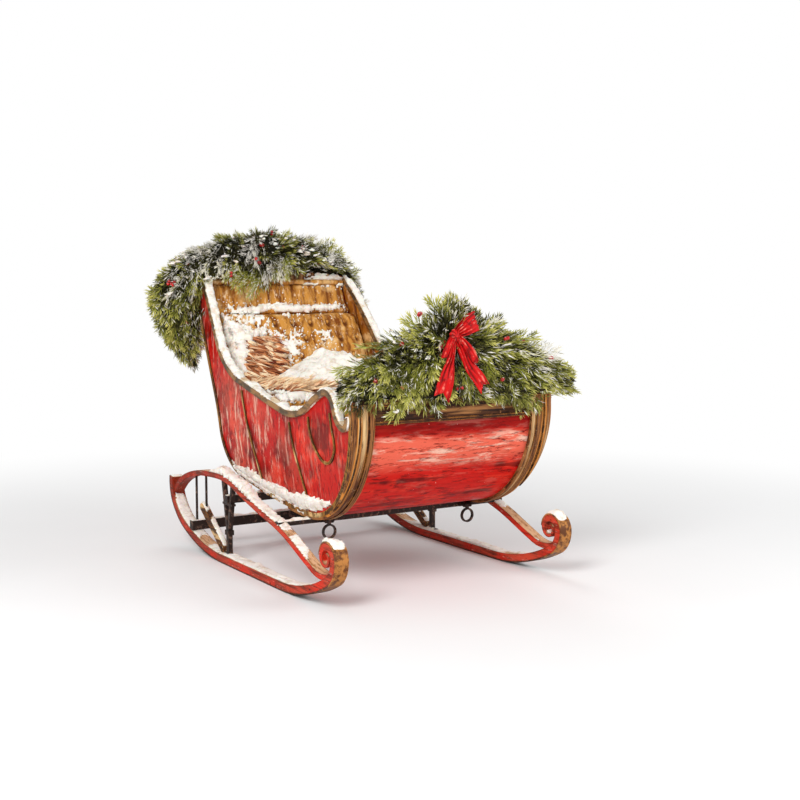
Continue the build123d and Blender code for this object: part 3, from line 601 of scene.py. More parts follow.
def mesh_object(name, vertices, faces, material, slot, smooth=True, **values):
    """A new piece on the sleigh's body, with one number a vertex for each named attribute."""
    mesh = bpy.data.meshes.new(name)
    mesh.from_pydata(np.asarray(vertices, dtype=float), [], np.asarray(faces))
    for key, numbers in values.items():
        put_values(mesh, key, numbers)
    mesh.materials.append(material)
    if smooth:
        mesh.shade_smooth()
    return enlist(add_object(name, mesh))


def copy_of(name, node):
    return add_object(name, nodes[node].data.copy())


def apply_modifiers(piece):
    """Puts a piece's modifiers into its mesh."""
    graph = bpy.context.evaluated_depsgraph_get()
    graph.update()
    mesh = bpy.data.meshes.new_from_object(piece.evaluated_get(graph))
    piece.modifiers.clear()
    piece.data = mesh


def remesh(piece, voxel):
    """Turns a piece's mesh into an even closed skin."""
    modifier = piece.modifiers.new("remesh", "REMESH")
    modifier.mode = "VOXEL"
    modifier.voxel_size = voxel
    modifier.use_smooth_shade = True
    apply_modifiers(piece)


def ball(radius, squash=1.0, rough=0.0, seed=0, rings=2):
    """A lumpy ball: an icosphere's vertices and faces."""
    made = bmesh.new()
    bmesh.ops.create_icosphere(made, subdivisions=rings, radius=radius)
    shift = Vector((seed * 3.7, seed * 1.9, 0))
    for vertex in made.verts:
        push = 1 + rough * noise.noise(vertex.co / radius * 1.3 + shift)
        vertex.co = vertex.co * push
        vertex.co.z *= squash
    vertices = np.array([vertex.co[:] for vertex in made.verts])
    faces = np.array([[vertex.index for vertex in face.verts] for face in made.faces])
    made.free()
    return vertices, faces


def turned(vertices, out, at):
    """Vertices with their +Z turned to a direction, moved to a place."""
    return vertices @ np.array(UP.rotation_difference(Vector(out)).to_matrix()).T + np.array(at)


def grid(rows, columns):
    """A grid's vertex numbers, and the four corners of each of its cells."""
    index = np.arange(rows * columns).reshape(rows, columns)
    return index, (index[:-1, :-1], index[:-1, 1:], index[1:, 1:], index[1:, :-1])


def halved(quads):
    return np.concatenate([quads[:, [0, 1, 2]], quads[:, [0, 2, 3]]])


def cell_triangles(shown, joins=True):
    """Triangles of a grid's cells, where all four corners are shown and the cell joins."""
    _, (a, b, c, d) = grid(*shown.shape)
    cells = shown[:-1, :-1] & shown[:-1, 1:] & shown[1:, 1:] & shown[1:, :-1] & joins
    return halved(np.stack([a[cells], d[cells], c[cells], b[cells]], -1))


def closed_layer(name, top, under, triangles, slot):
    """Snow between an upper and a lower skin over the same triangles."""
    used, index = np.unique(triangles, return_inverse=True)
    triangles = index.reshape(-1, 3)
    edges = np.concatenate([triangles[:, [0, 1]], triangles[:, [1, 2]], triangles[:, [2, 0]]])
    known = set(map(tuple, edges))
    rim = np.array([(a, b) for a, b in edges if (b, a) not in known])
    count = len(used)
    walls = np.concatenate([
        np.stack([rim[:, 0] + count, rim[:, 1] + count, rim[:, 1]], 1),
        np.stack([rim[:, 0] + count, rim[:, 1], rim[:, 0]], 1),
    ])
    faces = np.concatenate([triangles, triangles[:, ::-1] + count, walls])
    skins = [skin.reshape(-1, 3)[used] for skin in (top, under)]
    mesh_object(name, np.concatenate(skins), faces, SNOW_PAINT, slot)


def sheet_solid(rows, thickness):
    """A grid of places as a thin closed sheet; gives vertices, faces and the grid's normals."""
    rows = np.asarray(rows)
    down, across = np.gradient(rows, axis=0), np.gradient(rows, axis=1)
    normals = unit(np.cross(down, across))
    top = (rows + normals * thickness / 2).reshape(-1, 3)
    under = (rows - normals * thickness / 2).reshape(-1, 3)
    index, (a, b, c, d) = grid(*rows.shape[:2])
    quads = np.stack([a, d, c, b], -1).reshape(-1, 4)
    rim = np.concatenate([index[0, :-1], index[:-1, -1], index[-1, :0:-1], index[:0:-1, 0]])
    ahead = np.roll(rim, -1)
    shift = index.size
    walls = np.stack([rim, ahead, ahead + shift, rim + shift], -1)
    faces = np.concatenate([quads, quads[:, ::-1] + shift, walls])
    return np.concatenate([top, under]), faces, normals


# Greenery
SIDES = ("right", "left")
NEEDLE_FACES = np.array([(0, 3, 1), (0, 2, 3), (0, 1, 2), (3, 2, 1)])
PAIRED_PARTS = ["side_panel", "arm_rail", "corner_band", "side_beads"]
BODY_PARTS = ["back_panel", "crest_rail", "dash_board", "dash_cap", "dash_panel"]
BODY_PARTS += [f"{name}_{side}" for name in PAIRED_PARTS for side in SIDES]
# Branches: length, twigs, pairs of needles on each twig and needle length, in metres
SPRAYS = [(0.3, 12, 5, 0.042), (0.24, 10, 4, 0.038), (0.19, 8, 3, 0.036)]
CREST_EDGE = 1.392  # the height down to which the middle of the back stays clear of greenery


def blades(base, along, up, length, width):
    """Slim closed blades: root, two lowered shoulders and tip."""
    side = unit(np.cross(up, along))
    up = unit(np.cross(along, side))
    length, width = np.asarray(length)[:, None], np.asarray(width)[:, None]
    middle = base + along * length * 0.45 - up * width * 0.35
    corners = [base, middle + side * width / 2, middle - side * width / 2, base + along * length]
    return np.stack(corners, axis=1)


def blade_mesh(solid):
    """Vertices and faces of blades."""
    faces = np.arange(len(solid))[:, None, None] * 4 + NEEDLE_FACES
    return solid.reshape(-1, 3), faces.reshape(-1, 3)


def make_branch(rng, length, twigs, pairs, needle):
    """One flat evergreen branch along +X: its needles and how far out each lies."""
    bend, droop = rng.uniform(-0.16, 0.16), rng.uniform(0.0, 0.16)
    starts, alongs, sizes, shares = [], [], [], []

    def stem(t):
        return np.array([length * t, bend * length * t * t, -droop * length * t * t])

    def pair(place, direction, share, spread, size):
        across = unit(np.cross((0, 0, 1), direction))
        for edge in (-1, 1):
            angle = spread + rng.normal(0, 0.09)
            way = direction * math.cos(angle) + across * edge * math.sin(angle)
            starts.append(place)
            alongs.append(unit(way + (0, 0, rng.normal(0.04, 0.16))))
            sizes.append(size * rng.uniform(0.8, 1.2))
            shares.append(share)

    for number, t in enumerate(np.linspace(0.08, 0.86, twigs)):
        edge = 1 if number % 2 else -1
        reach = (0.36 * length * (1 - t) ** 0.8 + 0.025) * rng.uniform(0.8, 1.15)
        angle = math.radians(40 - 14 * t) + rng.normal(0, 0.08)
        direction = unit((math.cos(angle), edge * math.sin(angle), rng.normal(0, 0.1)))
        for k in range(1, pairs + 1):
            share = k / pairs
            out = stem(t) + direction * reach * share * 0.8
            pair(out, direction, 0.35 * t + 0.5 * share, 0.42, needle)
        pair(stem(t) + direction * reach * 0.9, direction, 0.35 * t + 0.6, 0.13, needle)
    for t in np.linspace(0.2, 0.97, pairs * 2 + 2):
        ahead = unit(stem(t) - stem(t - 0.05))
        pair(stem(t), ahead, t * 0.85, 0.46 - 0.26 * t, needle)
    starts, alongs, sizes = np.array(starts), np.array(alongs), np.array(sizes)
    ups = unit(np.array([(0, 0, 1)]) + rng.normal(0, 0.25, starts.shape))
    return blades(starts, alongs, ups, sizes, sizes * 0.15), np.array(shares)


def surface_points(rng, name, count, spacing):
    """Evenly scattered points on a CAD node, with the normals there."""
    mesh = nodes[name].data
    corners = coordinates(mesh)[triangles_of(mesh)]
    cross = np.cross(corners[:, 1] - corners[:, 0], corners[:, 2] - corners[:, 0])
    areas = np.linalg.norm(cross, axis=1)
    picks = rng.choice(len(areas), count * 12, p=areas / areas.sum())
    u, v = rng.random(len(picks)), rng.random(len(picks))
    u, v = np.where(u + v > 1, 1 - u, u), np.where(u + v > 1, 1 - v, v)
    a, b, c = corners[picks, 0], corners[picks, 1], corners[picks, 2]
    points = a + (b - a) * u[:, None] + (c - a) * v[:, None]
    normals = unit(cross[picks])
    kept = []
    for index, point in enumerate(points):
        if all(np.sum((points[other] - point) ** 2) > spacing**2 for other in kept[-400:]):
            kept.append(index)
            if len(kept) == count:
                break
    return points[kept], normals[kept]


def back_flow(point, normal):
    """Outward from the crest's middle, hanging at the sides and over the front."""
    if point[1] < -0.43 and point[2] < 1.36:
        return np.array((-0.1, -0.35, -1.0)) + normal * 0.25
    aside = abs(point[1] + 0.08)
    outward = math.copysign(1, point[1] + 0.08) * min(1.0, 0.45 + aside * 1.6)
    drop = -0.85 if normal[2] < 0.2 else 0.12
    drop -= 1.1 * max(0.0, abs(point[1]) - 0.3)
    return np.array((0.12 if normal[0] > 0.3 else 0.0, outward, drop)) + normal * 0.5


def dash_flow(point, normal):
    """Outward from the bow's knot, with the lowest branches hanging."""
    radial = unit(point - np.array((point[0], -0.03, 1.08)))
    hang = -0.3 if point[2] < 1.0 else 0.0
    return radial + normal * 0.3 + np.array((0, 0, hang))


def reaching(plane_x, centre, length, pixels):
    """Branches whose tips meet pixels of the picture on one upright plane, as root and tip."""
    pairs = []
    for x, y in pixels:
        ray = photo_ray(x, y)
        tip = np.array(CAMERA_AT + ray * ((plane_x - CAMERA_AT.x) / ray.x))
        tip = np.clip(tip, REACH_LOW, REACH_HIGH)
        inward = unit(np.array((plane_x, *centre)) - tip)
        pairs.append((tip + inward * length, tip))
    return pairs


def foliage(name, node, seed, counts, spacing, flow, frosty, split, heroes, outline):
    """Overlapping branches that grow out of one garland, kept off the sleigh's body.

    The heroes are extra branches that reach given places past the outline in the picture.
    """
    near, gap = 0.02, 0.0015  # how far from the body needles are looked at, and their clearance
    rng = np.random.default_rng(seed)
    variants = [make_branch(rng, *spray) for spray in SPRAYS for _ in range(3)]
    hull, body = surface_tree(node), surface_tree(*BODY_PARTS)
    solid, tones, frosts, tips = [], [], [], []

    def grow(blade, share, size, root, along, normal, bright):
        up = unit(normal + rng.normal(0, 0.3, 3))
        side = unit(np.cross(up, along))
        up = np.cross(along, side)
        solid.append(root + (blade * size) @ np.array([along, side, up]))
        tones.append(rng.normal(bright, 0.24) + rng.normal(0, 0.12, len(blade)))
        lit = max(0.12, 0.4 + 0.45 * max(0.0, up[2]) + 1.6 * noise.noise(Vector(root) * 6))
        chance = rng.random(len(blade))
        thick = rng.choice((0.2, 0.8, 3.2), p=(0.45, 0.33, 0.22))
        white = chance < frosty * lit * thick * (0.35 + share)
        frosts.append(white * rng.uniform(0.5, 1.0, len(blade)))
        tips.append(share)

    for layer, count in enumerate(counts):
        for point, normal in zip(*surface_points(rng, node, count, spacing)):
            blade, share = variants[rng.integers(len(variants))]
            size = rng.uniform(0.8, 1.12)
            reach = blade[:, 3, 0].max() * size
            along = unit(flow(point, normal) + rng.normal(0, 0.22, 3))
            root = point - normal * (0.018 + 0.014 * layer) - along * reach * 0.6
            if depth_in(hull, root) < 0.008:
                place, out, _, _ = hull.find_nearest(Vector(root))
                root = np.array(place - out * 0.012)
            slack = rng.choice((-0.02, 0.004, 0.036), p=(0.4, 0.35, 0.25))
            past = -depth_in(hull, root + along * reach) - slack
            if past > 0:
                size *= max(0.45, 1 - past / reach)
            # The second, deeper layer starts darker: painted shade.
            grow(blade, share, size, root, along, normal, 0.6 - 0.12 * layer)
    grown = sum(len(blade) for blade in solid)
    for root, tip in heroes:
        out = np.array(hull.find_nearest(Vector(tip))[1])
        root = root - out * 0.01
        blade, share = variants[rng.integers(3)]
        reach = np.linalg.norm(tip - root)
        size = reach / blade[:, 3, 0].max()
        grow(blade, share, size, root, (tip - root) / reach, out + (0.5, 0, 0.3), 0.62)
    solid, tones, frosts, tips = map(np.concatenate, (solid, tones, frosts, tips))
    ends = solid[:, 3]
    middles = (solid[:, 0] + ends) / 2
    clear = np.array([
        all(depth_in(body, place, near) < -gap for place in pair) for pair in zip(middles, ends)
    ])
    clear &= ((solid > REACH_LOW) & (solid < REACH_HIGH)).all(axis=(1, 2))
    x, y, z = middles.T
    over_back = (x < 0) & (x > -0.82) & (y > 0.1) & (y < 0.42)
    clear &= ~(over_back & (z < CREST_EDGE + 0.012 * np.sin(y * 50)))
    margin = 2 + 6 * lumps(middles, 16, seed) + rng.normal(0, 1.2, len(middles))
    within = inside_distance(*pixels_of(ends), outline) > -margin
    clear &= within | (np.arange(len(solid)) >= grown)
    solid, tones, frosts, tips, middles = (a[clear] for a in (solid, tones, frosts, tips, middles))
    # Painted shade: needles sunk deeper inside the garland get a darker tone.
    sunk = np.array([max(0.0, depth_in(hull, middle, 0.08)) for middle in middles])
    tones = np.clip(tones - 20 * np.minimum(sunk, 0.03), 0, 1)
    order = np.argsort(solid[:, 0, 1], kind="stable")
    outwards = np.array([0.0, 0.45, 0.45, 1.0])
    for number, part in enumerate(np.array_split(order, split)):
        tip = (tips[part][:, None] * 0.6 + outwards * 0.4).ravel()
        tone, frost = np.repeat(tones[part], 4), np.repeat(frosts[part], 4)
        mesh_object(
            f"{name}_{number + 1}", *blade_mesh(solid[part]), PAINTS["evergreen"], "evergreen",
            False, tone=tone, frost=frost, tip=tip,
        )
    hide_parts(node)
    return array_tree(*blade_mesh(solid))


def garland_core(name, node):
    """A near-black core of twigs inside a garland, standing in for the shade between its branches;
    kept off the dash board and the crest's middle.
    """
    voxel, deepest, lumpy = 0.012, 0.046, 0.014
    piece = copy_of(name, node)
    remesh(piece, voxel)
    tree = BVHTree.FromObject(piece, bpy.context.evaluated_depsgraph_get())
    moved = []
    for vertex in piece.data.vertices:
        inward = -vertex.normal
        _, _, _, through = tree.ray_cast(vertex.co + inward * 0.001, inward)
        lump = noise.noise(vertex.co * 22) * lumpy
        moved.append(vertex.co + inward * (min(deepest, 0.33 * (through or 0.0)) + lump))
    low = min(place.z for place in moved)
    for vertex, place in zip(piece.data.vertices, moved):
        if node == "dash_garland":
            place.z += 0.026 * max(0.0, 1 - (place.z - low) / 0.09)
        elif 0.06 < place.y < 0.41 and place.z < CREST_EDGE and place.x > -0.82:
            place.x = -0.81
        vertex.co = place
    cover(piece, PAINTS["shade_tangle"])
    enlist(piece)


def berries(name, spots, seed):
    """Clusters of berries with flat eyes, at places on the greenery with outward directions."""
    rng = np.random.default_rng(seed)
    parts = []
    for place, out, count in spots:
        for n in range(count):
            aside = rng.normal(0, 0.009, 3) if n else np.zeros(3)
            at = np.array(place) + aside - np.array(out) * 0.001
            way = unit(np.array(out) + rng.normal(0, 0.3, 3))
            radius = rng.uniform(0.0075, 0.0098)
            vertices, faces = ball(radius, 0.94, 0.05, seed + n)
            vertices[vertices[:, 2] > radius * 0.86, 2] -= radius * 0.16
            parts.append((turned(vertices, way, at), faces))
    mesh_object(name, *joined(parts), PAINTS["berry"], "evergreen")


def seen(tree, x, y):
    """Where the picture's pixel meets a surface, and the normal there."""
    return tree.ray_cast(CAMERA_AT, photo_ray(x, y))[:2]


def seen_spots(tree, pixels):
    """Places where the picture's pixels meet a surface, with the direction back to the camera."""
    spots = [(seen(tree, x, y)[0], -photo_ray(x, y), count) for x, y, count in pixels]
    return [spot for spot in spots if spot[0] is not None]


def scattered_spots(rng, tree, node, count):
    """Places spread over a garland's greenery, with the outward direction."""
    spots = []
    for point, normal in zip(*surface_points(rng, node, count, 0.09)):
        place = tree.ray_cast(Vector(point + normal * 0.2), Vector(-normal), 0.25)[0]
        if place is not None and normal[2] > -0.4:
            spots.append((place, normal, int(rng.integers(1, 4))))
    return spots


def settled_lumps(name, tree, rng, node, count, sizes, pixels):
    """Small drifts of snow that lie on the greenery, some where the picture shows them."""
    spots = []
    for point, normal in zip(*surface_points(rng, node, count * 2, 0.035)):
        if normal[2] > 0.05 and len(spots) < count:
            above = Vector((point[0], point[1], point[2] + 0.15))
            place = tree.ray_cast(above, DOWN, 0.3)[0]
            if place is not None:
                spots.append((np.array(place), normal, rng.uniform(*sizes)))
    for x, y, size in pixels:
        for _ in range(3):
            place, _ = seen(tree, x + rng.normal(0, 1.8), y + rng.normal(0, 1.2))
            if place is not None:
                lie = np.array((0.3, -0.2, 0.8))
                spots.append((np.array(place), lie, size * rng.uniform(0.6, 1.0)))
    parts = []
    for place, normal, size in spots:
        vertices, faces = ball(size, 0.35, 0.95, int(rng.integers(1000)))
        vertices[:, 0] *= rng.uniform(0.35, 0.75)
        turn = rng.uniform(0, math.pi)
        c, s = math.cos(turn), math.sin(turn)
        spin = np.array([[c, s, 0], [-s, c, 0], [0, 0, 1]])
        parts.append((turned(vertices @ spin, unit(normal + np.array((0, 0, 0.6))), place), faces))
    mesh_object(name, *joined(parts), SNOW_PAINT, "evergreen")


# Upholstery
def plump(name, node, voxel, cap, free):
    """A pad: its CAD solid, slightly smaller, swollen by air on its free sides."""
    shrink, pressure, frames = 0.007, 4.0, 20
    piece = copy_of(name, node)
    remesh(piece, voxel)
    hull = surface_tree(node)
    start = coordinates(piece.data)
    put_coordinates(piece.data, start - normals_of(piece.data) * shrink)
    cloth = piece.modifiers.new("cloth", "CLOTH")
    cloth.settings.use_pressure = True
    cloth.settings.uniform_pressure_force = pressure
    cloth.settings.effector_weights.gravity = 0.0
    for number in range(1, frames + 1):
        scene.frame_set(number)
    apply_modifiers(piece)
    scene.frame_set(1)
    moved = coordinates(piece.data) - start
    share = np.minimum(1, cap / np.maximum(np.linalg.norm(moved, axis=1), 1e-6))
    kept = []
    for place in start + moved * share[:, None]:
        point = Vector(place)
        near, normal, _, distance = hull.find_nearest(point)
        room = cap * max([0.0] + [Vector(way).dot(normal) for way in free])
        if (point - near).dot(normal) > 0 and distance > room:
            point = near + normal * room
        kept.append(point)
    put_coordinates(piece.data, kept)
    subdivision = piece.modifiers.new("subdivision", "SUBSURF")
    subdivision.levels = subdivision.render_levels = 1
    apply_modifiers(piece)
    cover(piece, PAINTS["tan_leather"])
    piece.data.shade_smooth()
    enlist(piece)
    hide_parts(node)
    return piece


def channels(values, pitch, width, start=0.0):
    """1 along evenly spaced lines, falling to 0 between them."""
    away = np.abs((values - start + pitch / 2) % pitch - pitch / 2)
    return np.exp(-((away / width) ** 2))


def press(piece, grooves, depth, facing):
    """Presses seams and buttons into a pad where it faces a direction."""
    mesh = piece.data
    places, normals = coordinates(mesh), normals_of(mesh)
    share = np.clip(grooves(places), 0, 1) * np.clip(normals @ np.array(facing) * 2.5 - 0.6, 0, 1)
    put_coordinates(mesh, places - normals * share[:, None] * depth)
    # The pressed depth, which the leather darkens as painted shade.
    put_values(mesh, "hollow", share)


BUTTON_PITCH = 0.104
BUTTON_ROWS = [(1.125, 0.0), (1.045, 0.5), (0.955, 0.0)]  # height, and shift in pitches
BUTTONS = [
    (column * BUTTON_PITCH + shift * BUTTON_PITCH, z)
    for z, shift in BUTTON_ROWS for column in range(-4, 5)
]


def seat_grooves(places):
    return channels(places[:, 1], 0.152, 0.009, 0.076)


def back_grooves(places):
    """Soft upright pleats between staggered buttons, each drawn in around its button."""
    y, z = places[:, 1], places[:, 2]
    shift = 0.5 * BUTTON_PITCH * (step(z, 1.06, 1.03) - step(z, 0.985, 0.965))
    wander = y + 0.014 * lumps(places, 9, 6)
    uneven = np.clip(0.6 + 1.3 * lumps(places, 11, 8), 0, 1)
    pleats = 0.5 * channels(wander, BUTTON_PITCH / 2, 0.011) * uneven
    pleats *= 0.55 + 0.45 * np.cos(2 * math.pi * (y - shift) / BUTTON_PITCH)
    for button_y, button_z in BUTTONS:
        away = (y - button_y) ** 2 + ((z - button_z) * 0.7) ** 2
        pleats = np.maximum(pleats, 0.9 * np.exp(-away / 0.017**2))
    return pleats


def upper_grooves(places):
    return 0.45 * channels(places[:, 1] + 0.01 * lumps(places, 8, 3), 0.07, 0.008)


def side_grooves(places):
    return channels(places[:, 0] + 0.35 * places[:, 2], 0.085, 0.007)


def add_buttons(pad):
    """Covered buttons, sunk into the back cushion."""
    tree = surface_tree(pad)
    parts = []
    for number, (y, z) in enumerate(BUTTONS):
        place, normal, _, _ = tree.ray_cast(Vector((0.1, y, z)), BACKWARD)
        if place is not None and abs(y) <= 0.4:
            vertices, faces = ball(0.0105, 0.5, 0.06, number)
            parts.append((turned(vertices, normal, place + normal * 0.003), faces))
    mesh_object("back_buttons", *joined(parts), PAINTS["tan_leather"], "tan_leather")


def add_welts():
    """A leather roll where the upper pad meets the back cushion, and one along its top."""
    steps, around = 90, 14
    rows = ((-0.726, 1.184, 0.016, 0.398), (-0.776, 1.336, 0.014, 0.395))
    parts = []
    for row, (x, z, radius, reach) in enumerate(rows):
        ys = np.linspace(-reach, reach, steps)
        turns = np.linspace(0, 2 * math.pi, around, endpoint=False)
        wobble = np.array([noise.noise(Vector((0, y * 12, row * 3.0))) for y in ys])
        ends = np.sqrt(np.clip(1 - (np.abs(ys) / (reach + 0.004)) ** 40, 0.05, 1))
        size = radius * (1 + 0.1 * wobble) * ends
        ring = np.stack([np.cos(turns), np.zeros(around), np.sin(turns)], -1)
        middle = np.stack([x + 0.003 * wobble, ys, z + 0.003 * np.roll(wobble, 9)], -1)
        vertices = (middle[:, None] + ring[None] * size[:, None, None]).reshape(-1, 3)
        index, _ = grid(steps, around)
        ahead = np.roll(index, -1, axis=1)
        quads = np.stack([index[:-1], ahead[:-1], ahead[1:], index[1:]], -1).reshape(-1, 4)
        first, last = index[0], index[-1]
        caps = [(first[0], first[n + 1], first[n]) for n in range(1, around - 1)]
        caps += [(last[0], last[n], last[n + 1]) for n in range(1, around - 1)]
        parts.append((vertices, np.concatenate([halved(quads), caps])))
    return mesh_object("back_welts", *joined(parts), PAINTS["tan_leather"], "tan_leather")


def throw_rows(tree, count):
    """A grid of places for the throw: down the back cushion, then forward over the seat."""
    inset, above = 0.012, 0.012
    low, high = (Vector(corner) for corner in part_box("throw"))
    columns = []
    for y in np.linspace(low.y + inset, high.y - inset, 36):
        line = []
        for z in np.linspace(high.z - 0.01, 0.9, 8):
            place = tree.ray_cast(Vector((0.4, y, z)), BACKWARD)[0]
            line.append(np.array(place) + (above, 0, 0))
        for x in np.linspace(line[-1][0] + 0.04, high.x - inset, 12):
            place = tree.ray_cast(Vector((x, y, 1.2)), DOWN)[0]
            line.append(np.array(place) + (0, 0, above))
        columns.append(smooth_line(line, count))
    return np.stack(columns, 1)


def add_locks(rng, rows, normals, locks, strands):
    """Bundles of strands on the throw that share a place, a direction and a tone."""
    picks = rng.integers(0, rows[:, :, 0].size, locks)
    base = rows.reshape(-1, 3)[picks]
    normal = normals.reshape(-1, 3)[picks]
    share = (picks // rows.shape[1]) / len(rows)
    on_seat = share > 0.42
    slope = np.where(share < 0.42, -0.45, 0.12)[:, None] * np.array((0.35, 0.0, 1.0))
    lean = np.array((0.12, 1.0, 0.0)) + slope + normal * 0.16
    along = unit(lean + rng.normal(0, 0.2, base.shape))
    sizes = rng.uniform(0.05, 0.1, locks)
    dark = 0.22 * np.exp(-((share - 0.3) / 0.1) ** 2)
    tone = rng.choice([0.15, 0.42, 0.66, 0.9], locks, p=[0.14, 0.2, 0.26, 0.4])
    tone = np.clip(tone - dark + 0.45 * on_seat, 0, 1)
    side = unit(np.cross(normal, along))
    parts, tones = [], []
    for number in range(strands):
        offset = (number / (strands - 1) - 0.5) * 0.017
        rise = 0.003 + 0.004 * math.cos(offset * 150)
        start = base + side * offset * rng.uniform(0.7, 1.3, (locks, 1)) + normal * rise
        way = unit(along - side * offset * 9 + rng.normal(0, 0.05, base.shape))
        lengths = sizes * rng.uniform(0.75, 1.1, locks)
        strand = blades(start - along * 0.012, way, normal, lengths, sizes * 0.066)
        strand[:, 1:3] += normal[:, None] * 0.004
        strand[:, 3] -= normal * 0.004
        parts.append(strand)
        outer = abs(offset) > 0.008
        tones.append(np.clip(tone + rng.normal(0, 0.09, locks) - 0.4 * outer, 0, 1))
    tones = np.repeat(np.concatenate(tones), 4)
    solid = blade_mesh(np.concatenate(parts))
    return mesh_object("throw_strands", *solid, PAINTS["fur"], "fur_throw", False, tone=tones)


def add_throw(back_pad, seat_pad):
    """A shaggy throw down the back cushion and over the seat."""
    thickness, count, ripple = 0.004, 150, 0.052
    rows = throw_rows(surface_tree(back_pad, seat_pad), count)
    middle = rows[:, 18]
    length = np.linalg.norm(np.diff(middle, axis=0), axis=1).sum()
    run = np.linspace(0, length, count)[:, None]
    wander = 9 * rows[:, :, 1] + 2.5 * lumps(middle, 9)[:, None]
    wave = 0.5 + 0.5 * np.sin(run / ripple * 2 * math.pi + wander)
    _, _, normals = sheet_solid(rows, thickness)
    rows = rows + normals * (wave * 0.011 + 0.002)[:, :, None]
    vertices, faces, normals = sheet_solid(rows, thickness)
    tone = np.full(len(vertices), 0.2)
    cloth = mesh_object("throw_cloth", vertices, faces, PAINTS["fur"], "fur_throw", tone=tone)
    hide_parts("throw")
    piece = add_locks(np.random.default_rng(17), rows, normals, 640, 8)


# Bow: places in millimetres across, up and forward from the dash, then the ribbon's direction
# across itself at each, its widths in metres, its pleats and its notched end
BOW = {
    "bow_loop": (
        [(-44, 275, 6), (0, 302, 20), (50, 330, 18), (70, 333, 2), (44, 322, -10), (0, 300, -8),
         (-42, 278, -2)],
        [(0.1, -0.45, 0.9), (0.05, -0.38, 0.92), (0, -0.3, 0.95), (0, -0.3, 0.95), (0, -0.3, 0.95),
         (0, -0.38, 0.92), (0, -0.45, 0.9)],
        [0.026, 0.062, 0.084, 0.086, 0.08, 0.055, 0.026], 4, 0.0),
    "bow_small_loop": (
        [(-48, 272, 8), (-68, 240, 16), (-84, 190, 14), (-88, 182, 4), (-76, 210, -4),
         (-50, 262, -2)],
        [(0.1, 0.9, -0.3), (0, 0.95, -0.2), (0, 0.96, -0.15), (0, 0.96, -0.15), (0, 0.95, -0.2),
         (0, 0.9, -0.3)],
        [0.022, 0.036, 0.04, 0.04, 0.036, 0.022], 3, 0.0),
    "bow_left_tail": (
        [(-50, 262, 4), (-56, 205, 10), (-66, 150, 6), (-88, 80, 10), (-108, 8, 6)],
        [(0.1, 0.99, 0.1), (0, 1, 0.05), (0, 0.97, -0.2), (0, 0.93, -0.36), (0, 0.9, -0.42)],
        [0.024, 0.03, 0.05, 0.078, 0.086], 3, 0.03),
    "bow_right_tail": (
        [(-34, 262, 6), (-2, 205, 9), (38, 140, 5), (82, 88, 8), (118, 42, 5)],
        [(0.1, 0.85, 0.5), (0, 0.85, 0.52), (0, 0.8, 0.58), (0, 0.76, 0.64), (0, 0.74, 0.66)],
        [0.022, 0.04, 0.054, 0.06, 0.062], 3, 0.026),
    "bow_short_tail": (
        [(-30, 268, 12), (4, 236, 20), (36, 200, 18), (62, 164, 16)],
        [(0.1, 0.8, 0.6), (0, 0.8, 0.6), (0, 0.82, 0.57), (0, 0.85, 0.5)],
        [0.02, 0.032, 0.036, 0.032], 2, -0.012),
}
KNOT_AT = (-44, 272, 8)


def bow_points(table):
    return [(0.938 + x / 1000, y / 1000, 0.84 + z / 1000) for y, z, x in table]


def add_strip(name, spine, across, widths, pleats, notch):
    """One run of gathered ribbon along a line, with its own width and pleats."""
    count, thickness, notch_from = 44, 0.0014, 0.82
    spine, across = smooth_line(bow_points(spine), count), unit(smooth_line(across, count))
    share = np.linspace(0, 1, count)
    widths = np.interp(share, np.linspace(0, 1, len(widths)), widths)
    tangent = unit(np.gradient(spine, axis=0))
    face = unit(np.cross(tangent, across))
    t, share, full = np.linspace(-1, 1, 17), share[:, None], widths.max()
    gather = 0.0022 + 0.011 * (1 - widths[:, None] / full)
    ripple = 0.003 * np.sin(share * 9 + 2 * t)
    wave = gather * np.cos(t * math.pi * pleats + 2.2 * share) + ripple
    back = notch * np.maximum(0, share - notch_from) / 0.18 * (1 - np.abs(t))
    rows = spine[:, None] + across[:, None] * (t * widths[:, None] / 2)[:, :, None]
    rows = rows + face[:, None] * wave[:, :, None] - tangent[:, None] * back[:, :, None]
    vertices, faces, _ = sheet_solid(rows, thickness)
    # How high each place sits in its pleat, which the satin turns into painted shade and highlight.
    fold = np.tile((wave / (gather + 0.003) * 0.5 + 0.5).ravel(), 2)
    piece = mesh_object(name, vertices, faces, PAINTS["ribbon"], "red_ribbon", fold=fold)
    return piece


def add_bow():
    loop, *_ = [add_strip(name, *shape) for name, shape in BOW.items()]
    vertices, faces = ball(0.023, 1.15, 0.0, 3, rings=4)
    turn = np.arctan2(vertices[:, 2], vertices[:, 1])
    vertices *= (1 + 0.07 * np.cos(turn * 7 + vertices[:, 0] * 60))[:, None]
    # How high each place sits in its pleat, which the satin turns into painted shade and highlight.
    fold = 0.5 + 0.5 * np.cos(turn * 7 + vertices[:, 0] * 60)
    vertices[:, 0] *= 0.75
    vertices = vertices + np.array(bow_points([KNOT_AT])[0])
    mesh_object("bow_knot", vertices, faces, PAINTS["ribbon"], "red_ribbon", fold=fold)
    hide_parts("bow")


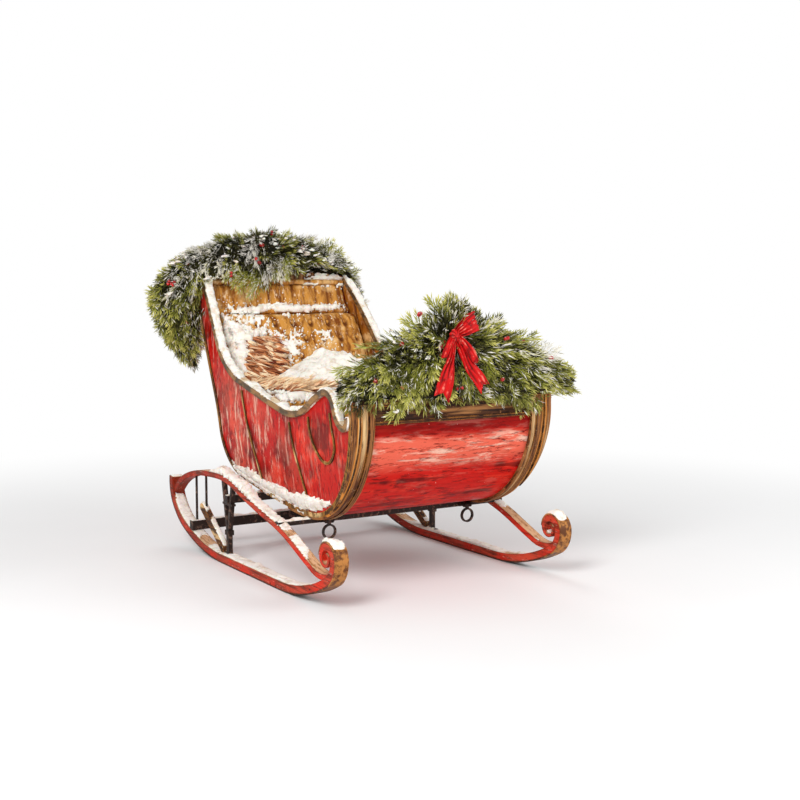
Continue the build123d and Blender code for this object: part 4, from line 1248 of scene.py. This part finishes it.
# Snow
def snow_cap(name, node, depth, voxel, lift, seed):
    """Snow on a CAD node, as deep as depth(places, normals) says, closed underneath."""
    thinnest, bedded = 0.0014, 0.0012
    piece = copy_of(name, node)
    remesh(piece, voxel)
    places, normals = coordinates(piece.data), normals_of(piece.data)
    uneven = 0.8 + 0.7 * lumps(places, 21, seed) + 0.35 * lumps(places, 65, seed)
    deep = depth(places, normals) * uneven
    triangles = triangles_of(piece.data)
    triangles = triangles[(deep[triangles] > thinnest).all(axis=1)]
    bpy.data.objects.remove(piece)
    top = places + deep[:, None] * (normals * (1 - lift) + np.array((0, 0, lift)))
    closed_layer(name, top, places - normals * bedded, triangles, "cream_paint")


def rim_snow(places, normals):
    up = np.maximum(normals[:, 2], 0.92 * normals[:, 0])
    patches = step(lumps(places, 9, 4), -0.45, 0.1)
    front = 1 - 0.5 * step(places[:, 0], 0.35, 0.5)
    return 0.02 * step(up, 0.25, 0.85) * patches * front


def rail_snow(places, normals):
    """Deep beside the body, thin on the rail's front and rear."""
    x = places[:, 0]
    deep = 0.03 * between(x, -0.3, 0.12, 0.08) + 0.012 * between(x, 0.12, 0.42, 0.08)
    thin = 0.007 * step(lumps(places * (0.5, 1, 1), 16, 7), 0.05, 0.3)
    return (deep + thin) * step(normals[:, 2], 0.35, 0.8)


def runner_snow(places, normals):
    """A thin cover along the flat, more on the scroll and behind."""
    x, z = places[:, 0], places[:, 2]
    flat = 0.008 * between(x, -0.34, 0.6, 0.06) * step(lumps(places, 8, 8), -0.75, -0.35)
    scroll = 0.018 * step(x, 0.76, 0.8) * step(z, 0.2, 0.24)
    rear = 0.006 * step(x, -0.4, -0.6)
    thin = 0.004 * step(lumps(places, 12, 9), 0.0, 0.35)
    return (flat + scroll + rear + thin) * step(normals[:, 2], 0.3, 0.8)


def top_snow(depth):
    def deep(places, normals):
        return depth * step(normals[:, 2], 0.3, 0.85) * step(lumps(places, 10, 3), -0.5, 0.1)
    return deep


def side_frost(outward):
    """Snow thrown against the lower edge of a side, with a ragged top."""
    rear, width = -0.9, 0.02  # the side is measured in upright strips

    def deep(places, normals):
        x, z = places[:, 0], places[:, 2]
        slots = np.floor((x - rear) / width).astype(int)
        lows = np.full(slots.max() + 2, 9.0)
        np.minimum.at(lows, slots, z)
        stops = np.nonzero(lows < 9)[0]
        over = z - np.interp(x, -0.89 + width * stops, lows[stops])
        ragged = 1 + 0.5 * lumps(places, 14, 2) + 0.45 * lumps(places, 46, 3)
        high = 0.022 + 0.03 * between(x, -0.36, 0.1, 0.1)
        reach = high * ragged * between(x, -0.48, 0.42, 0.06)
        thick = (0.0025 + 0.009 * step(reach - over, 0.0, 0.035)) * (reach > over)
        return thick * step(normals[:, 1] * outward, 0.0, 0.25)

    return deep


def dusting(name, tree, pixels, count, sizes, seed):
    """Small flakes and clots scattered where the picture shows a heap thinning out."""
    spread = 4.0
    rng = np.random.default_rng(seed)
    parts = []
    for _ in range(count):
        x, y = pixels[rng.integers(len(pixels))]
        place, normal = seen(tree, x + rng.normal(0, spread), y + rng.normal(0, spread))
        if place is None:
            continue
        vertices, faces = ball(rng.uniform(*sizes), 0.5, 0.8, int(rng.integers(500)), rings=1)
        vertices[:, 0] *= rng.uniform(0.5, 1.6)
        parts.append((turned(vertices, normal, place), faces))
    mesh_object(name, *joined(parts), SNOW_PAINT, "tan_leather")


def heap(name, tree, outline, height, seed, rise, ragged, grain, slot="tan_leather"):
    """Snow over the surfaces that an outline in the picture covers, thin and ragged at its edge."""
    pitch, border, unknown = 0.75, 4, -9.0  # in pixels
    widest, bedded, thinnest = 0.024, 0.004, 0.0015  # in metres
    xs, ys = (np.arange(min(axis) - border, max(axis) + border, pitch) for axis in zip(*outline))
    count = (len(ys), len(xs))
    places, normals, deep = np.zeros((*count, 3)), np.zeros((*count, 3)), np.full(count, unknown)
    away = inside_distance(*np.meshgrid(xs, ys), outline)
    for i, y in enumerate(ys):
        for j, x in enumerate(xs):
            place, normal = seen(tree, x, y)
            if place is None:
                continue
            streak = noise.noise(Vector((x * grain[0], y * grain[1], seed * 3.1)))
            streak += 0.6 * noise.noise(Vector((x * 0.5, y * 0.5, seed * 1.7)))
            places[i, j] = place
            normals[i, j] = normal if normal.dot(photo_ray(x, y)) < 0 else -normal
            deep[i, j] = away[i, j] + ragged * streak
    known = deep > unknown
    for _ in range(6):
        total, weight = places * known[..., None], known.astype(float)
        for axis, way in ((0, 1), (0, -1), (1, 1), (1, -1)):
            total = total + np.roll(places * known[..., None], way, axis)
            weight = weight + np.roll(known, way, axis)
        eased = total / np.maximum(weight, 1)[..., None]
        places = np.where(known[..., None], eased * 0.5 + places * 0.5, places)
    flat = places.reshape(-1, 3)
    bumps = 1 + 0.3 * lumps(flat, 16, seed).reshape(count)
    bumps = bumps + 0.22 * lumps(flat, 44, seed + 1).reshape(count)
    lift = height * np.clip(deep / rise, 0, 1) ** 0.75 * bumps + thinnest
    up = unit(normals * 0.7 + np.array((0, 0, 0.7)))
    span = np.linalg.norm(places[:-1, :-1] - places[1:, 1:], axis=-1) < widest
    top = places + up * lift[..., None]
    closed_layer(name, top, places - normals * bedded, cell_triangles(deep > 0, span), slot)


def mound(name, profile, front, depth, base, seed):
    """A pile of snow on the seat against the back: its height across the seat, and its slope."""
    rear = -0.54  # inside the back cushion, and in front of the back panel
    across = np.linspace(profile[0][0], profile[-1][0], 110)
    x, y = np.meshgrid(np.linspace(rear, front + 0.03, 90), across, indexing="ij")
    slope = step(-x, -front - 0.02 * np.sin(y * 19 + seed), depth - front)
    tall = np.interp(y, *zip(*profile)) * slope
    flat = np.stack([x, y, np.zeros_like(x)], -1).reshape(-1, 3)
    bumps = 1 + 0.2 * lumps(flat, 13, seed) + 0.1 * lumps(flat * (1, 0.45, 1), 60, seed + 1)
    grain = 0.006 * lumps(flat * (0.5, 1, 1), 55, seed + 2)
    height = base - 0.012 + tall * bumps.reshape(x.shape) + grain.reshape(x.shape)
    top, under = np.stack([x, y, height], -1), np.stack([x, y, np.full_like(x, base - 0.03)], -1)
    closed_layer(name, top, under, cell_triangles(height > base - 0.016), "tan_leather")


# Camera, lamps and floor
def aimed(name, data, at, way):
    """A camera or lamp at a place, looking along a direction."""
    made = add_object(name, data)
    made.location = at
    made.rotation_euler = way.to_track_quat("-Z", "Y").to_euler()
    return made


def add_camera():
    data = bpy.data.cameras.new("camera")
    data.sensor_width = SENSOR
    data.lens = CAMERA_LENS
    data.clip_end = 200.0
    scene.camera = aimed("camera", data, CAMERA_AT, CAMERA_TOWARDS)


def add_light(name, at, towards, size, power):
    data = bpy.data.lights.new(name, "AREA")
    data.shape = "DISK"
    data.size = size
    data.energy = power
    aimed(name, data, at, Vector(towards) - Vector(at))


def add_floor():
    """A pale floor that fades to white away from the sleigh and keeps its shadow."""
    half = 60
    mesh = bpy.data.meshes.new("floor")
    corners = [(-half, -half, 0), (half, -half, 0), (half, half, 0), (-half, half, 0)]
    mesh.from_pydata(corners, [], [(0, 1, 2, 3)])
    floor = add_object("floor", mesh)
    paint = Paint("pale_floor")
    tone = paint.noise(0.8, 3)
    paint.start(tone, linear(246, 246, 246), linear(240, 240, 240))
    mesh.materials.append(paint.done((tone, 0.0, 1.0, 0.85, 0.95)))
    path = paint.node("ShaderNodeLightPath").outputs
    mirrored = paint.math("MAXIMUM", path["Is Glossy Ray"], path["Is Transmission Ray"])
    direct = paint.math("MAXIMUM", path["Is Camera Ray"], mirrored)
    away = paint.node("ShaderNodeVectorMath", {0: paint.place}, operation="LENGTH").outputs["Value"]
    white = {"Color": (1, 1, 1, 1), "Strength": 1.0}
    glow = paint.node("ShaderNodeEmission", white).outputs[0]
    share = paint.times(direct, paint.level(away, 1.5, 4.5))
    inputs = {0: share, 1: paint.shader.outputs[0], 2: glow}
    blend = paint.node("ShaderNodeMixShader", inputs).outputs[0]
    paint.tree.links.new(blend, paint.tree.nodes["Material Output"].inputs["Surface"])


def add_world():
    """A world that shows white to the camera and lights at half of that."""
    world = scene.world = bpy.data.worlds.new("white_world")
    world.use_nodes = True
    tree = world.node_tree
    background = tree.nodes["Background"].inputs
    background["Color"].default_value = (1, 1, 1, 1)
    path = tree.nodes.new("ShaderNodeLightPath").outputs
    direct = tree.nodes.new("ShaderNodeMath")
    direct.operation = "MAXIMUM"
    tree.links.new(path["Is Camera Ray"], direct.inputs[0])
    tree.links.new(path["Is Transmission Ray"], direct.inputs[1])
    strength = tree.nodes.new("ShaderNodeMapRange")
    strength.inputs[3].default_value = 0.5
    strength.inputs[4].default_value = 1.0
    tree.links.new(direct.outputs[0], strength.inputs[0])
    tree.links.new(strength.outputs[0], background["Strength"])


# Places in the picture, in pixels. Berries: x, y and how many; drifts: x, y and size in metres
BACK_BERRIES = [
    (188, 265, 5), (168, 284, 2), (228, 250, 4), (242, 249, 2), (263, 246, 3), (255, 259, 3),
    (260, 263, 2), (283, 247, 1), (297, 237, 6), (302, 246, 4), (187, 323, 2), (231, 273, 2),
]
DASH_BERRIES = [
    (419, 315, 3), (508, 338, 2), (550, 358, 2), (444, 342, 3), (441, 347, 2), (462, 388, 2),
    (402, 388, 1),
]
BACK_DRIFTS = [
    (300, 251, 0.022), (306, 254, 0.022), (311, 250, 0.02), (318, 254, 0.02), (325, 259, 0.02),
    (332, 263, 0.018), (176, 260, 0.02), (184, 256, 0.018), (194, 255, 0.016), (208, 277, 0.02),
    (217, 280, 0.018), (169, 296, 0.016), (226, 256, 0.018), (238, 252, 0.014), (253, 240, 0.02),
    (262, 238, 0.018), (275, 243, 0.018), (287, 238, 0.014),
]
DASH_DRIFTS = [
    (421, 350, 0.014), (415, 356, 0.012), (428, 358, 0.012), (452, 322, 0.014), (517, 352, 0.013),
    (398, 408, 0.014),
]
# Tips of single branches
DASH_TIPS = [
    (433, 292), (452, 291), (463, 296), (475, 304), (404, 311), (400, 325), (378, 332), (351, 343),
    (334, 374), (332, 396), (345, 417), (365, 428), (385, 425), (508, 316), (517, 326), (545, 332),
    (550, 346), (568, 352), (581, 372), (576, 398), (560, 395), (535, 420), (520, 410), (500, 403),
    (340, 386), (338, 405), (355, 424), (376, 427), (410, 418), (428, 408),
]
BACK_TIPS = [
    (148, 300), (163, 270), (180, 255), (195, 247), (222, 231), (248, 228), (262, 231), (280, 232),
    (296, 232), (322, 235), (345, 247), (352, 256), (362, 285), (371, 300), (366, 290), (152, 308),
    (170, 262), (144, 293), (141, 303), (156, 276), (208, 240), (236, 227), (255, 225), (271, 229),
    (310, 233), (335, 236), (188, 250),
]
HANGING_TIPS = [
    (158, 325), (165, 342), (175, 355), (186, 368), (196, 372), (192, 350), (202, 358), (172, 335),
    (150, 316), (160, 338), (170, 351), (206, 352), (199, 366), (182, 362),
]
FRINGE_TIPS = [
    (230, 290), (245, 300), (250, 303), (265, 287), (283, 285), (290, 283), (238, 296), (275, 284),
    (222, 284),
]
DASH_FRINGE = [(346 + 8.2 * n, 413 + 7 * math.sin(n * 2.4)) for n in range(12)]
DASH_FRINGE += [(444 + 8 * n, 402 + 5 * math.sin(n * 1.9) + max(0, n - 6) * 2.2) for n in range(12)]
# Outlines of the garlands, which all other branches keep to
BACK_OUTLINE = [
    (146, 297), (152, 286), (160, 272), (170, 262), (183, 254), (196, 246), (208, 241), (222, 232),
    (236, 229), (250, 226), (262, 230), (275, 229), (290, 231), (305, 233), (325, 232), (335, 238),
    (347, 246), (352, 256), (360, 272), (368, 285), (375, 300), (368, 301), (358, 290), (348, 276),
    (340, 268), (322, 266), (308, 270), (302, 280), (292, 285), (284, 288), (272, 286), (262, 292),
    (252, 304), (246, 306), (238, 300), (230, 292), (222, 286), (210, 284), (206, 292), (205, 310),
    (207, 335), (209, 352), (204, 366), (197, 375), (190, 369), (180, 357), (170, 347), (160, 334),
    (155, 324), (150, 310),
]
DASH_OUTLINE = [
    (334, 373), (356, 368), (373, 347), (395, 335), (399, 327), (417, 321), (431, 314), (430, 292),
    (439, 307), (451, 291), (459, 302), (464, 297), (471, 306), (487, 318), (509, 317), (512, 329),
    (542, 331), (531, 339), (559, 346), (567, 357), (581, 371), (570, 377), (577, 400), (559, 393),
    (548, 398), (535, 420), (525, 408), (510, 406), (490, 400), (470, 404), (450, 404), (436, 410),
    (428, 423), (414, 423), (395, 420), (378, 425), (362, 426), (352, 414), (344, 419), (337, 398),
    (342, 386),
]
# Outlines of the snow on the upholstery, the near side and the crest
RIGHT_HEAP = [
    (222, 316), (231, 321), (243, 326), (256, 330), (268, 328), (266, 336), (258, 340), (257, 348),
    (252, 354), (254, 362), (250, 370), (253, 376), (248, 384), (241, 385), (233, 372), (226, 352),
    (222, 334),
]
FAR_HEAP = [
    (286, 372), (296, 365), (305, 362), (314, 356), (324, 350), (335, 347), (345, 350), (352, 357),
    (362, 366), (372, 372), (372, 392), (352, 398), (336, 401), (322, 397), (316, 388), (304, 380),
    (292, 378),
]
LEDGE = [
    (236, 308), (262, 305), (285, 303), (298, 305), (318, 305), (343, 303), (344, 308), (330, 311),
    (322, 315), (313, 311), (300, 316), (285, 317), (272, 311), (255, 315), (240, 314),
]
SPLASH = [
    (270, 330), (288, 335), (300, 330), (304, 342), (299, 356), (288, 364), (276, 352), (268, 343),
]
FAN = [(316, 332), (330, 330), (334, 338), (322, 342)]
SHOULDER = [(228, 304), (246, 308), (262, 312), (268, 326), (250, 326), (232, 318)]
SEAT_EDGE = [
    (256, 386), (272, 390), (290, 391), (306, 389), (318, 385), (328, 383), (332, 388), (322, 394),
    (308, 402), (292, 404), (278, 400), (262, 393),
]
SIDE_DRIFT = [
    (233, 464), (243, 467), (254, 470), (264, 480), (280, 485), (294, 494), (303, 493), (311, 497),
    (320, 499), (330, 502), (332, 506), (318, 512), (305, 511), (292, 505), (278, 499), (262, 491),
    (248, 482), (236, 473),
]
CREST_DRIFT = [
    (302, 279), (318, 273), (336, 273), (347, 281), (345, 290), (332, 285), (316, 286), (303, 287),
]
# The mound on the seat: place across the seat and height, in metres
FAR_PILE = [
    (-0.28, 0.0), (-0.2, 0.045), (-0.13, 0.08), (-0.05, 0.105), (0.03, 0.14), (0.1, 0.162),
    (0.17, 0.162), (0.24, 0.13), (0.32, 0.075), (0.43, 0.0),
]

back_heroes = reaching(-0.8, (-0.05, 1.28), 0.24, BACK_TIPS)
back_heroes += reaching(-0.79, (-0.5, 1.34), 0.26, HANGING_TIPS)
back_heroes += reaching(-0.7, (0.02, 1.55), 0.16, FRINGE_TIPS)
dash_heroes = reaching(0.88, (-0.03, 1.06), 0.27, DASH_TIPS)
dash_heroes += reaching(0.915, (-0.03, 1.6), 0.2, DASH_FRINGE)
back_tree = foliage(
    "back_sprays", "back_garland", seed=11, counts=(240, 190), spacing=0.05, flow=back_flow,
    frosty=0.8, split=3, heroes=back_heroes, outline=BACK_OUTLINE,
)
dash_tree = foliage(
    "dash_sprays", "dash_garland", seed=23, counts=(230, 180), spacing=0.048, flow=dash_flow,
    frosty=0.36, split=2, heroes=dash_heroes, outline=DASH_OUTLINE,
)
garland_core("back_shade_tangle", "back_garland")
garland_core("dash_shade_tangle", "dash_garland")
picker = np.random.default_rng(5)
for place, tree, pixels in (("back", back_tree, BACK_BERRIES), ("dash", dash_tree, DASH_BERRIES)):
    spots = seen_spots(tree, pixels) + scattered_spots(picker, tree, f"{place}_garland", 12)
    berries(f"{place}_berries", spots, 31)
settled_lumps("back_snow", back_tree, picker, "back_garland", 80, (0.008, 0.02), BACK_DRIFTS)
settled_lumps("dash_snow", dash_tree, picker, "dash_garland", 70, (0.005, 0.013), DASH_DRIFTS)

# Upholstery, swollen only towards the open: voxel, most swell and open directions
seat_pad = plump("seat_pad", "seat_cushion", 0.016, 0.022, [(0, 0, 1), (0.5, 0, 0)])
back_pad = plump("back_pad", "back_cushion", 0.011, 0.022, [(1, 0, 0.2)])
upper_pad = plump("upper_pad", "back_upper_pad", 0.009, 0.008, [(1, 0, 0)])
press(seat_pad, seat_grooves, 0.012, (0, 0, 1))
press(back_pad, back_grooves, 0.022, (1, 0, 0.3))
press(upper_pad, upper_grooves, 0.01, (1, 0, 0.3))
add_buttons(back_pad)
side_pads = []
for side, inward in (("right", 1), ("left", -1)):
    pad = plump(f"pad_{side}", f"side_pad_{side}", 0.011, 0.006, [(0, inward, 0)])
    press(pad, side_grooves, 0.009, (0, inward, 0))
    pad.data.materials[0] = DARK_LEATHER
    side_pads.append(pad)
add_throw(back_pad, seat_pad)
welts = add_welts()
add_bow()

# Snow on the frame and body: depth, voxel, share of the lift that is upward and seed
for side, outward in (("right", -1), ("left", 1)):
    for name, node, depth, voxel, lift, seed in (
        ("rim", "arm_rail", rim_snow, 0.008, 0.3, 2),
        ("rail", "upper_rail", rail_snow, 0.009, 0.8, 3),
        ("runner", "runner", runner_snow, 0.009, 0.9, 4),
        ("side", "side_panel", side_frost(outward), 0.0065, 0.15, 5),
        ("brace", "brace", top_snow(0.012), 0.007, 0.8, 6),
    ):
        snow_cap(f"{name}_snow_{side}", f"{node}_{side}", depth, voxel, lift, seed)
ACROSS = {"crest_rail": 0.022, "rear_beam": 0.01, "mid_beam": 0.008, "front_beam": 0.01}
for node, depth in ACROSS.items():
    snow_cap(f"{node}_snow", node, top_snow(depth), 0.008, 0.8, 7)

# Heaps: surfaces, outline, height, seed, rise and raggedness in pixels, and grain of the noise
upholstery = surface_tree(seat_pad, back_pad, upper_pad, welts, *side_pads)
near_side = surface_tree("side_panel_right", "side_beads_right", "corner_band_right")
crest = surface_tree("back_panel", "crest_rail", "back_upper_pad")
seat_level = float(np.percentile(coordinates(seat_pad.data)[:, 2], 90))
heap("right_heap", upholstery, RIGHT_HEAP, 0.05, 40, 12.0, 5.0, (0.12, 0.3))
mound("far_mound", FAR_PILE, 0.02, 0.36, seat_level, 70)
heap("ledge_snow", upholstery, LEDGE, 0.018, 100, 4.0, 3.5, (0.3, 0.2))
heap("splash_snow", upholstery, SPLASH, 0.006, 130, 8.0, 14.0, (0.28, 0.22))
heap("fan_snow", upholstery, FAN, 0.005, 150, 6.0, 9.0, (0.3, 0.3))
heap("shoulder_frost", upholstery, SHOULDER, 0.004, 170, 9.0, 14.0, (0.3, 0.2))
heap("seat_edge_snow", surface_tree(seat_pad), SEAT_EDGE, 0.02, 230, 4.0, 3.0, (0.3, 0.3))
heap("side_drift", near_side, SIDE_DRIFT, 0.022, 210, 5.0, 2.5, (0.3, 0.3), "red_paint")
heap("crest_drift", crest, CREST_DRIFT, 0.012, 190, 4.0, 7.0, (0.2, 0.5))
dusting("heap_flakes", upholstery, RIGHT_HEAP + FAR_HEAP, 260, (0.003, 0.007), 3)
dusting("splash_flakes", upholstery, SPLASH + FAN + SHOULDER + LEDGE, 240, (0.002, 0.0045), 4)

add_camera()
add_floor()
add_world()
add_light("key", (3.6, -4.6, 4.4), (0, 0, 0.6), 3.2, 310)
add_light("fill", (4.6, 3.2, 2.6), (0, 0, 0.6), 3.0, 110)
add_light("back", (-4.0, 1.5, 4.0), (0, 0, 0.9), 3.0, 60)
scene.view_settings.view_transform = "Standard"
